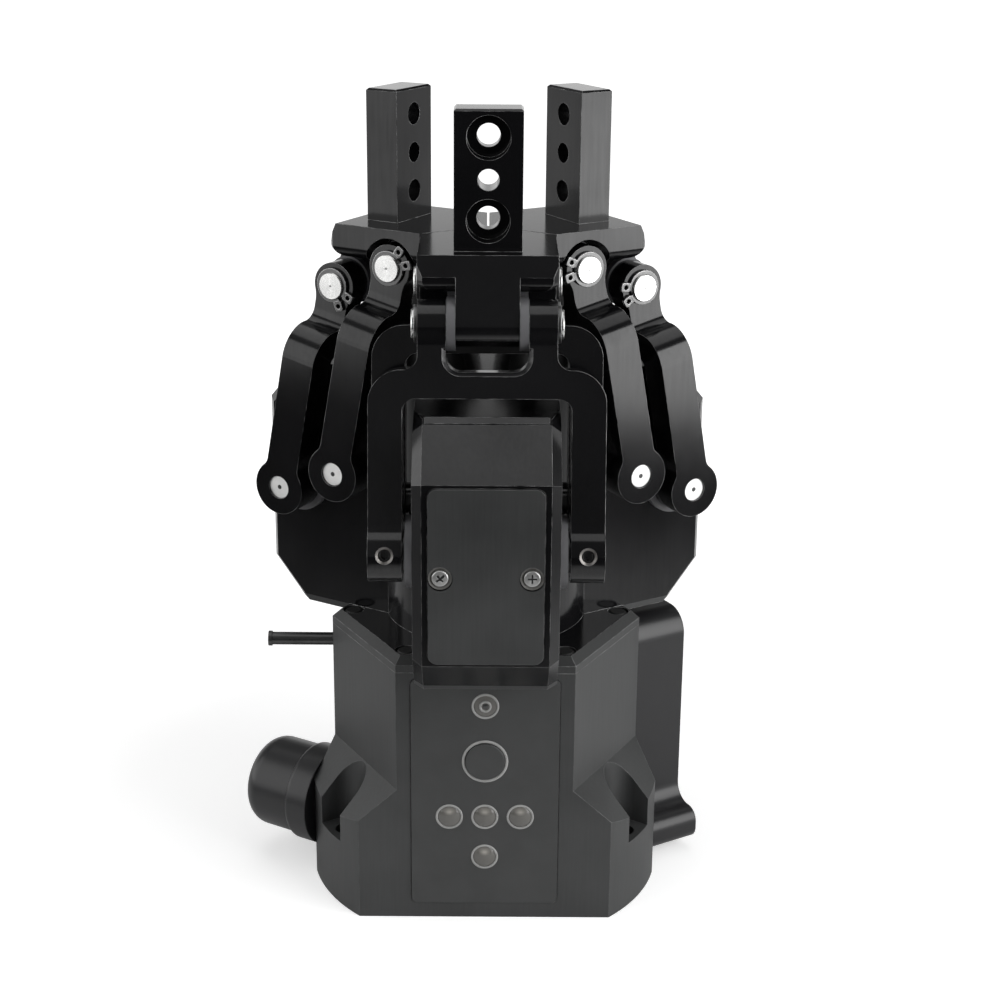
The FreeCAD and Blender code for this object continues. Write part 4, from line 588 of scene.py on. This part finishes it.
def broken_edges(tree, shader, grain, bump_height, edge_radius):
    """Round the edges a little, put the grain on them, and return a mask that is 1 on the edges."""
    edge = add(tree, "ShaderNodeBevel", samples=6, Radius=edge_radius).outputs["Normal"]
    bump = add(tree, "ShaderNodeBump", Strength=1.0, Distance=bump_height, Height=grain, Normal=edge)
    feed(shader, Normal=bump.outputs["Normal"])
    match = add(tree, "ShaderNodeVectorMath", operation="DOT_PRODUCT")
    tree.links.new(edge, match.inputs[0])
    tree.links.new(add(tree, "ShaderNodeNewGeometry").outputs["Normal"], match.inputs[1])
    return spread(tree, match.outputs["Value"], 1.0, 0.0, *EDGE_MATCH)


def anodised(name, base, roughness, edge_radius, pattern, worn, bump_height, foot=None):
    """Black anodised aluminium: fine grain, cloudy gloss, a faint brushed sheen and lighter grey edges that
    stand for wear and a painted edge highlight.

    A foot is the height below which the piece is matt, and the grey and roughness there.
    """
    material, tree, shader, place = new_finish(name, base, roughness)
    grain = noise(tree, place, pattern, 3.0)
    cloud = noise(tree, place, "cloud", 5.0)
    gloss = spread(tree, cloud, roughness * 0.86, roughness * 1.14)
    brush = add(tree, "ShaderNodeMapping", Vector=place, Scale=(1.0, 1.0, 0.04)).outputs["Vector"]
    streaks = spread(tree, noise(tree, brush, "brush", 3.0), -0.04, 0.04)
    sheen = joined(tree, "ADD", streaks, spread(tree, cloud, 0.44, 0.58))
    edge = broken_edges(tree, shader, grain, bump_height, edge_radius)
    # Lighter edges: real wear and a painted highlight along the edges
    rubbed = joined(tree, "MULTIPLY", edge, spread(tree, noise(tree, place, "rubbing"), 0.0, 1.0, 0.35, 0.65))
    body = mixed(tree, spread(tree, cloud, 0.0, 1.0), base, toned(base, 1.25))
    if foot:
        top, grey, matt = foot
        below = spread(tree, parts_of(tree, place)["Z"], 1.0, 0.0, top - MATT_EDGE, top)
        body = mixed(tree, below, body, grey)
        gloss = mixed(tree, below, gloss, matt, kind="FLOAT")
    feed(shader, Specular_IOR_Level=sheen, Roughness=gloss, Base_Color=mixed(tree, rubbed, body, worn))
    return material


def turned_metal(name, base, edge_radius, roughness):
    """Turned metal: fine streaks in its gloss and a slight change of tone."""
    material, tree, shader, place = new_finish(name, base, roughness, metallic=1.0)
    streak = noise(tree, place, "streak", 2.0)
    tone = spread(tree, noise(tree, place, "tone"), 0.0, 1.0)
    feed(shader, Roughness=spread(tree, streak, roughness * 0.75, roughness * 1.3),
         Base_Color=mixed(tree, tone, base, toned(base, 0.82)))
    broken_edges(tree, shader, streak, bump_height=1.5e-6, edge_radius=edge_radius)
    return material


def faced_metal(name, base, edge_radius, roughness):
    """Metal faced on a lathe: marks round the axis draw its gloss out into soft bright and dark sectors."""
    material = turned_metal(name, base, edge_radius, roughness)
    tree = material.node_tree
    round_axis = add(tree, "ShaderNodeTangent", direction_type="UV_MAP", uv_map="round").outputs["Tangent"]
    feed(tree.nodes["Principled BSDF"], Anisotropic=0.8, Tangent=round_axis)
    return material


def spring_steel(name, base, edge_radius, roughness, worn):
    """Phosphated spring steel: a grey face whose edges are rubbed bright."""
    material, tree, shader, place = new_finish(name, base, roughness, metallic=1.0)
    grain = noise(tree, place, "phosphate", 2.0)
    edge = broken_edges(tree, shader, grain, bump_height=1e-6, edge_radius=edge_radius)
    feed(shader, Roughness=spread(tree, grain, roughness * 0.8, roughness * 1.25),
         Base_Color=mixed(tree, edge, base, worn))
    return material


def moulded(name, base, edge_radius, roughness):
    """Moulded plastic: an even fine grain with a faint mottle."""
    material, tree, shader, place = new_finish(name, base, roughness)
    grain = noise(tree, place, "texture", 2.0)
    mottle = spread(tree, noise(tree, place, "mottle"), 0.0, 1.0)
    feed(shader, Roughness=spread(tree, grain, roughness * 0.9, roughness * 1.1),
         Base_Color=mixed(tree, mottle, base, toned(base, 1.18)))
    broken_edges(tree, shader, grain, bump_height=8e-6, edge_radius=edge_radius)
    return material


def lens_plastic(name, base):
    """Milky indicator plastic under a clear coat, with a soft painted highlight high on its dome."""
    material, tree, shader, place = new_finish(name, base, roughness=0.22)
    facing = parts_of(tree, add(tree, "ShaderNodeNewGeometry").outputs["Normal"])
    beside = add(tree, "ShaderNodeMath", operation="ABSOLUTE", Value=facing["X"]).outputs["Value"]
    # Masks by the normal's height and sideways lean that bound the painted highlight, a patch lightened in
    # the base colour
    lower_edge = spread(tree, facing["Z"], 0.0, 1.0, start=0.14, end=0.3)
    upper_edge = spread(tree, facing["Z"], 1.0, 0.25, start=0.32, end=0.46)
    ends = spread(tree, beside, 1.0, 0.0, start=0.06, end=0.3)
    painted_highlight = spread(tree, noise(tree, place, "milk"), 0.8, 1.0)
    for part in (lower_edge, upper_edge, ends):
        painted_highlight = joined(tree, "MULTIPLY", painted_highlight, part)
    feed(shader, Coat_Weight=0.5, Coat_Roughness=0.1,
         Base_Color=mixed(tree, painted_highlight, toned(base, 0.82), toned(base, 2.6)))
    return material


def dress(finish, *names):
    """Give CAD nodes a finish. A name with an underscore at its end stands for a node in each sector."""
    for name in names:
        for node in [name + sector for sector in SECTORS] if name.endswith("_") else [name]:
            data = frame["nodes"][node].data
            data.materials.clear()
            data.materials.append(finish)


def looks_and_sizes(context):
    """Finishes and fittings of the scene."""
    return context.scene.gripper_finishes, context.scene.gripper_fittings


class GRIPPER_OT_links(bpy.types.Operator):
    """Finish the links, the jaws and the gear head in gloss black"""
    bl_idname = "gripper.links"
    bl_label = "Links, jaws and gear head"

    def execute(self, context):
        look = context.scene.gripper_finishes
        gloss = {"base": look.link_black, "roughness": look.link_roughness, "edge_radius": look.edge_radius,
                 "pattern": "polish", "worn": look.link_edge_wear_and_highlight, "bump_height": 6e-7}
        dress(anodised("gloss_black_anodised", **gloss), "drive_yoke_", "follower_yoke_", "jaw_")
        foot = (look.flange_top, look.housing_grey, look.housing_roughness)
        dress(anodised("gloss_black_head", foot=foot, **gloss), "gear_head")
        return {"FINISHED"}


class GRIPPER_OT_housing(bpy.types.Operator):
    """Finish the housing, the covers and the panel in matt grey black"""
    bl_idname = "gripper.housing"
    bl_label = "Housing, covers and panel"

    def execute(self, context):
        look = context.scene.gripper_finishes
        matt = anodised("matt_black_blasted", look.housing_grey, look.housing_roughness, look.edge_radius,
                        pattern="blast", worn=look.housing_edge_wear_and_highlight, bump_height=6e-6)
        dress(matt, "base_housing", "bottom_cover", "case_cover_")
        film = moulded("panel_film", look.panel_grey, look.edge_radius, roughness=0.55)
        dress(film, "control_panel")
        black = moulded("moulded_black", look.plastic_black, 2 * look.edge_radius, roughness=0.32)
        dress(black, "connector_housing", "cable_entry", "release_switch")
        cap = moulded("button_cap", look.panel_grey, look.edge_radius, roughness=0.5)
        dress(cap, "release_button")
        return {"FINISHED"}


class GRIPPER_OT_hardware(bpy.types.Operator):
    """Finish the pins, screws, washers and the drive inside"""
    bl_idname = "gripper.hardware"
    bl_label = "Pins, screws, washers and drive"

    def execute(self, context):
        look = context.scene.gripper_finishes
        edge = look.edge_radius / 2
        bright = turned_metal("turned_steel", look.steel, edge, roughness=0.24)
        dress(bright, "pivot_pins_", "sector_gear_", "bottom_screws", "motor_screws", "ring_rack",
              "drive_screw", "screw_bearing", "guide_rods")
        dark = turned_metal("blackened_steel", look.dark_steel, edge, roughness=0.35)
        dress(dark, "set_screws_", "drive_shaft_", "cable_post", "motor", "follower_axles")
        dress(moulded("black_oxide_and_painted_shade", look.screw_black_and_painted_shade, edge / 4, roughness=0.6), "head_screws")
        grey = moulded("washer_polymer", look.washer_grey, edge, roughness=0.5)
        dress(grey, "thrust_washers_", "shaft_bushes")
        dress(moulded("solder_resist", look.board_green, edge, roughness=0.4), "controller_board")
        dress(turned_metal("turned_brass", look.brass, edge, roughness=0.3), "screw_nut")
        return {"FINISHED"}


class GRIPPER_OT_cover_screws(bpy.types.Operator):
    """Add six pan heads in the dishes of the covers, one of them with a chewed cross"""
    bl_idname = "gripper.cover_screws"
    bl_label = "Cover screws and dishes"

    def execute(self, context):
        look, fit = looks_and_sizes(context)
        edge = look.edge_radius / 4
        screws, painted_shades, dishes = [], [], []
        for sector in SECTORS:
            axes = sector_frame(sector)
            for side in SIDES:
                seat = in_sector(sector, fit.screw_reach, side * fit.screw_side, fit.screw_height)
                cross = CHEWED_CROSS.get((sector, side), SOUND_CROSS)
                screws.append(cross_screw(fit, seat, axes, *cross))
                painted_shades.append(cross_painted_shade(fit, seat, axes, *cross))
                dishes.append(dish_wall(fit, seat, axes))
        steel = turned_metal("screw_steel", look.screw_grey, edge, roughness=0.38)
        piece = grid_piece("cross_head_screws", screws, "base", steel, smooth=False)
        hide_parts("cover_screws")
        dark = bpy.data.materials["black_oxide_and_painted_shade"]
        # A dark prism in each cross recess paints the shade there
        grid_piece("cross_painted_shades", painted_shades, "base", dark, smooth=False)
        # The dishes' lighter grey is a painted highlight
        matt = anodised("painted_highlight_dish", look.dish_highlight_grey, look.housing_roughness, edge,
                        pattern="blast", worn=look.dish_edge_wear_and_highlight, bump_height=6e-6)
        grid_piece("dish_walls", dishes, "base", matt, smooth=False)
        return {"FINISHED"}


class GRIPPER_OT_indicators(bpy.types.Operator):
    """Add the indicators' lenses and the rings round them and round the release button"""
    bl_idname = "gripper.indicators"
    bl_label = "Indicators and rings"

    def execute(self, context):
        look, fit = looks_and_sizes(context)
        upper = (0, fit.lens_top)
        row = [(step * fit.lens_step, fit.lens_row) for step in (-1, 0, 1)]
        lower = [*row, (0, fit.lens_low)]
        print_grey = moulded("ring_print", look.ring_grey, look.edge_radius / 4, roughness=0.45)
        self.add_rings(fit, upper, lower, print_grey)
        # Both lens plastics carry the painted highlight high on their domes
        self.add_lenses(fit, upper, lower, lens_plastic("indicator_plastic_with_painted_highlight", look.lens_grey),
                        lens_plastic("dark_plastic_with_painted_highlight", look.panel_grey))
        return {"FINISHED"}

    def on_panel(self, fit, profile, place, lift=0.0):
        """A turned form on the panel's face."""
        return turned(profile, in_sector("front", fit.panel_reach + lift, *place), sector_frame("front"))

    def add_rings(self, fit, upper, lower, paint):
        """Rings round the indicators and the release button, and a small one on the upper indicator."""
        lens = printed_ring(fit.lens_ring, fit.ring_width, fit.ring_height)
        button = printed_ring(fit.button_ring, fit.button_width, fit.ring_height)
        small = printed_ring(fit.inner_ring, fit.ring_width, 2 * fit.ring_height)
        grids = [self.on_panel(fit, lens, place) for place in (upper, *lower)]
        grids.append(self.on_panel(fit, button, (0, fit.button_height)))
        grids.append(self.on_panel(fit, small, upper, lift=UPPER_LENS_RISE))
        grid_piece("panel_rings", grids, "base", paint)

    def add_lenses(self, fit, upper, lower, plastic, dark):
        """Domes of the four lower indicators and the flat upper one with its dark middle."""
        lens = dome(fit.lens_ring, fit.lens_rise)
        flat = dome(fit.lens_ring, UPPER_LENS_RISE)
        middle = dome(fit.inner_ring, LENS_MIDDLE_RISE)
        grids = [self.on_panel(fit, lens, place) for place in lower]
        grids.append(self.on_panel(fit, flat, upper))
        piece = grid_piece("lens_domes", grids, "base", plastic)
        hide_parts("indicator_lenses")
        grid_piece("upper_lens_middle", [self.on_panel(fit, middle, upper)], "base", dark)


class GRIPPER_OT_case_lips(bpy.types.Operator):
    """Add the narrow raised lips on top of the slopes of the gear cases"""
    bl_idname = "gripper.case_lips"
    bl_label = "Lips of the gear cases"

    def execute(self, context):
        fit = context.scene.gripper_fittings
        grids = [bar(np.array(LIP_OUTLINE) * MM, sector, fit.lip_half) for sector in SECTORS]
        black = bpy.data.materials["gloss_black_anodised"]
        grid_piece("case_lips", grids, "base", black, smooth=False)
        return {"FINISHED"}


class GRIPPER_OT_turned_ends(bpy.types.Operator):
    """Add the turned ends of the jaw pins, of the drive shafts and of the follower axles"""
    bl_idname = "gripper.turned_ends"
    bl_label = "Turned ends of pins and shafts"

    def execute(self, context):
        look, fit = looks_and_sizes(context)
        edge = look.edge_radius / 2
        pin_steel = faced_metal("faced_pin_steel", look.face_steel, edge, roughness=0.27)
        shaft_steel = turned_metal("faced_shaft_steel", look.face_steel, edge, roughness=0.52)
        pin = turned_end(fit, fit.pin_face, fit.pin_hole)
        shaft = turned_end(fit, fit.shaft_face, fit.shaft_hole)
        kinds = {"jaw": ((OUTER_PIN, INNER_PIN), fit.pin_end, pin, pin_steel),
                 "drive_arm": ((DRIVE_PIVOT,), fit.shaft_end, shaft, shaft_steel),
                 "base": ((FOLLOWER_PIVOT,), fit.shaft_end, shaft, shaft_steel)}
        for sector in SECTORS:
            outward, sideways, upward = sector_frame(sector)
            for kind, (places, end, profile, steel) in kinds.items():
                grids = []
                for place in places:
                    for side in SIDES:
                        axes = (side * sideways, outward, upward)
                        grids.append(turned(profile, on_pivot(sector, place, side * end), axes))
                body = kind if kind == "base" else f"{kind}_{sector}"
                grid_piece(f"turned_ends_{kind}_{sector}", grids, body, steel)
        return {"FINISHED"}


class GRIPPER_OT_retaining_rings(bpy.types.Operator):
    """Add the open rings with drilled lugs on both ends of the jaw pins, each turned a little differently"""
    bl_idname = "gripper.retaining_rings"
    bl_label = "Retaining rings"

    def execute(self, context):
        look, fit = looks_and_sizes(context)
        steel = spring_steel("spring_steel", look.spring_grey, look.edge_radius, roughness=0.34,
                             worn=look.spring_worn)
        for sector in SECTORS:
            grids = []
            for side in SIDES:
                for place, turn in zip((OUTER_PIN, INNER_PIN), RING_TURNS[sector, side]):
                    grids += retaining_ring(fit, sector, side, place, math.radians(turn))
            piece = grid_piece(f"spring_rings_{sector}", grids, f"jaw_{sector}", steel, smooth=False)
            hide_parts(f"retaining_rings_{sector}")
        return {"FINISHED"}


class GRIPPER_OT_set_screw_mouths(bpy.types.Operator):
    """Add the countersunk mouths of the two set-screw holes of each driven yoke"""
    bl_idname = "gripper.set_screw_mouths"
    bl_label = "Mouths of the set-screw holes"

    def execute(self, context):
        look, fit = looks_and_sizes(context)
        steel = turned_metal("mouth_steel", look.mouth_grey, look.edge_radius / 4, roughness=0.4)
        for sector in SECTORS:
            outward, sideways, upward = sector_frame(sector)
            axis, beside = rotated(outward, upward, fit.link_lean)
            centres = [on_pivot(sector, DRIVE_PIVOT, side * fit.set_screw_side) for side in SIDES]
            grids = [saddle_cone(fit, centre, (axis, sideways, beside)) for centre in centres]
            grid_piece(f"set_screw_mouths_{sector}", grids, f"drive_arm_{sector}", steel,
                       smooth=False)
        return {"FINISHED"}


class GRIPPER_OT_stage(bpy.types.Operator):
    """Set the floor, the light and the camera"""
    bl_idname = "gripper.stage"
    bl_label = "Studio"

    def execute(self, context):
        studio = context.scene.gripper_studio
        make_floor()
        make_world(studio)
        powers = {"right": studio.right_light, "left": studio.left_light, "top": studio.top_light}
        for side, power in powers.items():
            softbox(f"{side}_softbox", power, **SOFTBOXES[side])
        make_camera(studio)
        context.scene.view_settings.view_transform = "Standard"
        return {"FINISHED"}


def make_floor():
    """Pale floor that fills the view and shows the object's soft shadow.

    Only the camera sees it pale all round. To other rays its front half is dark and its rear half glows.
    """
    corners = FLOOR_HALF * np.array([(-1, -1, 0), (1, -1, 0), (1, 1, 0), (-1, 1, 0)])
    mesh = bpy.data.meshes.new("floor")
    mesh.from_pydata(corners.tolist(), [], [(0, 1, 2, 3)])
    material, tree, shader, place = new_finish("pale_floor", FLOOR_PALE, roughness=0.9, specular=0.0)
    shifted = add(tree, "ShaderNodeVectorMath", operation="SUBTRACT", Vector=place)
    shifted.inputs[1].default_value = FLOOR_MIDDLE
    distance = add(tree, "ShaderNodeVectorMath", operation="LENGTH", Vector=shifted.outputs["Vector"])
    away, back = distance.outputs["Value"], parts_of(tree, place)["Y"]
    far = spread(tree, away, 0.0, 1.0, start=0.15, end=0.26)
    front = spread(tree, back, 1.0, 0.0, start=-0.1, end=0.1)
    sheet = mixed(tree, joined(tree, "MULTIPLY", far, front), FLOOR_PALE, FLOOR_DARK)
    straight = seen_straight(tree)
    bright = spread(tree, away, 0.45, 1.0, start=0.15, end=0.4)
    rear = spread(tree, back, 0.0, 0.4, start=0.1, end=0.4)
    feed(shader, Base_Color=mixed(tree, straight, sheet, FLOOR_PALE), Emission_Color=WHITE,
         Emission_Strength=mixed(tree, straight, rear, bright, kind="FLOAT"))
    mesh.materials.append(material)
    floor = bpy.data.objects.new("floor", mesh)
    bpy.context.scene.collection.objects.link(floor)


def make_world(studio):
    """Bright wall behind the object, a dim room in front that darkens to the right, and white for the camera.

    Gloss shows the white too, as a low backdrop behind the object.
    """
    world = bpy.data.worlds.new("studio_room")
    bpy.context.scene.world = world
    world.use_nodes = True
    tree = world.node_tree
    direction = parts_of(tree, add(tree, "ShaderNodeTexCoord").outputs["Generated"])
    wall = add(tree, "ShaderNodeValToRGB", Fac=direction["Z"])
    steps = wall.color_ramp.elements
    steps[0].position, steps[1].position = REAR_WALL[0][0], REAR_WALL[-1][0]
    for slope, _ in REAR_WALL[1:-1]:
        steps.new(slope)
    for step, (_, level) in zip(steps, REAR_WALL):
        step.color = (level, level, level, 1.0)
    behind = spread(tree, direction["Y"], 0.0, studio.room_light, start=-0.35, end=0.05)
    left, right = 1.6 * studio.front_light, 0.4 * studio.front_light
    front = spread(tree, direction["X"], left, right, start=-0.12, end=0.12)
    strength = joined(tree, "ADD", joined(tree, "MULTIPLY", behind, wall.outputs["Color"]), front)
    room = feed(tree.nodes["Background"], Color=WHITE, Strength=strength)
    white = add(tree, "ShaderNodeBackground", Color=WHITE, Strength=1.0)
    low = spread(tree, direction["Z"], 1.0, 0.0, REAR_WALL[0][0], REAR_WALL[1][0])
    backdrop = joined(tree, "MULTIPLY", low, spread(tree, direction["Y"], 0.0, 1.0, -0.1, 0.05))
    mirrored = joined(tree, "MULTIPLY", add(tree, "ShaderNodeLightPath").outputs["Is Glossy Ray"], backdrop)
    blend = add(tree, "ShaderNodeMixShader", Fac=joined(tree, "MAXIMUM", seen_straight(tree), mirrored))
    tree.links.new(room.outputs["Background"], blend.inputs[1])
    tree.links.new(white.outputs["Background"], blend.inputs[2])
    feed(tree.nodes["World Output"], Surface=blend.outputs["Shader"])


def softbox(name, power, place, aim, size):
    """Rectangular area lamp that faces a point."""
    lamp = bpy.data.lights.new(name, "AREA")
    lamp.shape = "RECTANGLE"
    lamp.size, lamp.size_y = size
    lamp.energy = power
    item = bpy.data.objects.new(name, lamp)
    item.location = place
    item.rotation_euler = (Vector(place) - Vector(aim)).to_track_quat("Z", "Y").to_euler()
    bpy.context.scene.collection.objects.link(item)


def make_camera(studio):
    """Camera at the photograph's view."""
    data = bpy.data.cameras.new("camera")
    data.sensor_width = SENSOR_WIDTH
    data.lens = studio.focal_length
    data.shift_x, data.shift_y = studio.shift
    data.clip_start = 10 * MM
    camera = bpy.data.objects.new("camera", data)
    pitch = Matrix.Rotation(math.pi / 2 - studio.camera_pitch, 4, "X")
    place = Matrix.Translation((0.0, -studio.camera_back, studio.camera_height))
    camera.matrix_world = place @ pitch @ Matrix.Rotation(studio.camera_roll, 4, "Z")
    bpy.context.scene.collection.objects.link(camera)
    bpy.context.scene.camera = camera


class GRIPPER_PT_panel(bpy.types.Panel):
    """Lists the steps of the gripper's looks"""
    bl_label = "Gripper"
    bl_idname = "GRIPPER_PT_panel"
    bl_space_type = "VIEW_3D"
    bl_region_type = "UI"
    bl_category = "Gripper"

    def draw(self, context):
        for step in STEPS:
            self.layout.operator(step.bl_idname)


SETTINGS = {
    "gripper_finishes": GripperFinishes,
    "gripper_fittings": GripperFittings,
    "gripper_studio": GripperStudio,
}
STEPS = (
    GRIPPER_OT_links, GRIPPER_OT_housing, GRIPPER_OT_hardware, GRIPPER_OT_cover_screws, GRIPPER_OT_indicators,
    GRIPPER_OT_case_lips, GRIPPER_OT_turned_ends, GRIPPER_OT_retaining_rings, GRIPPER_OT_set_screw_mouths,
    GRIPPER_OT_stage,
)


def register():
    """Make the settings, the steps and the panel known to Blender."""
    for name, settings in SETTINGS.items():
        bpy.utils.register_class(settings)
        setattr(bpy.types.Scene, name, bpy.props.PointerProperty(type=settings))
    for item in (*STEPS, GRIPPER_PT_panel):
        bpy.utils.register_class(item)


def unregister():
    """Take the panel, the steps and the settings out again."""
    for item in (GRIPPER_PT_panel, *reversed(STEPS)):
        bpy.utils.unregister_class(item)
    for name, settings in SETTINGS.items():
        delattr(bpy.types.Scene, name)
        bpy.utils.unregister_class(settings)


def main():
    """Run the steps in order."""
    register()
    bpy.ops.gripper.links()
    bpy.ops.gripper.housing()
    bpy.ops.gripper.hardware()
    bpy.ops.gripper.cover_screws()
    bpy.ops.gripper.indicators()
    bpy.ops.gripper.case_lips()
    bpy.ops.gripper.turned_ends()
    bpy.ops.gripper.retaining_rings()
    bpy.ops.gripper.set_screw_mouths()
    bpy.ops.gripper.stage()


if __name__ == "__main__":
    main()
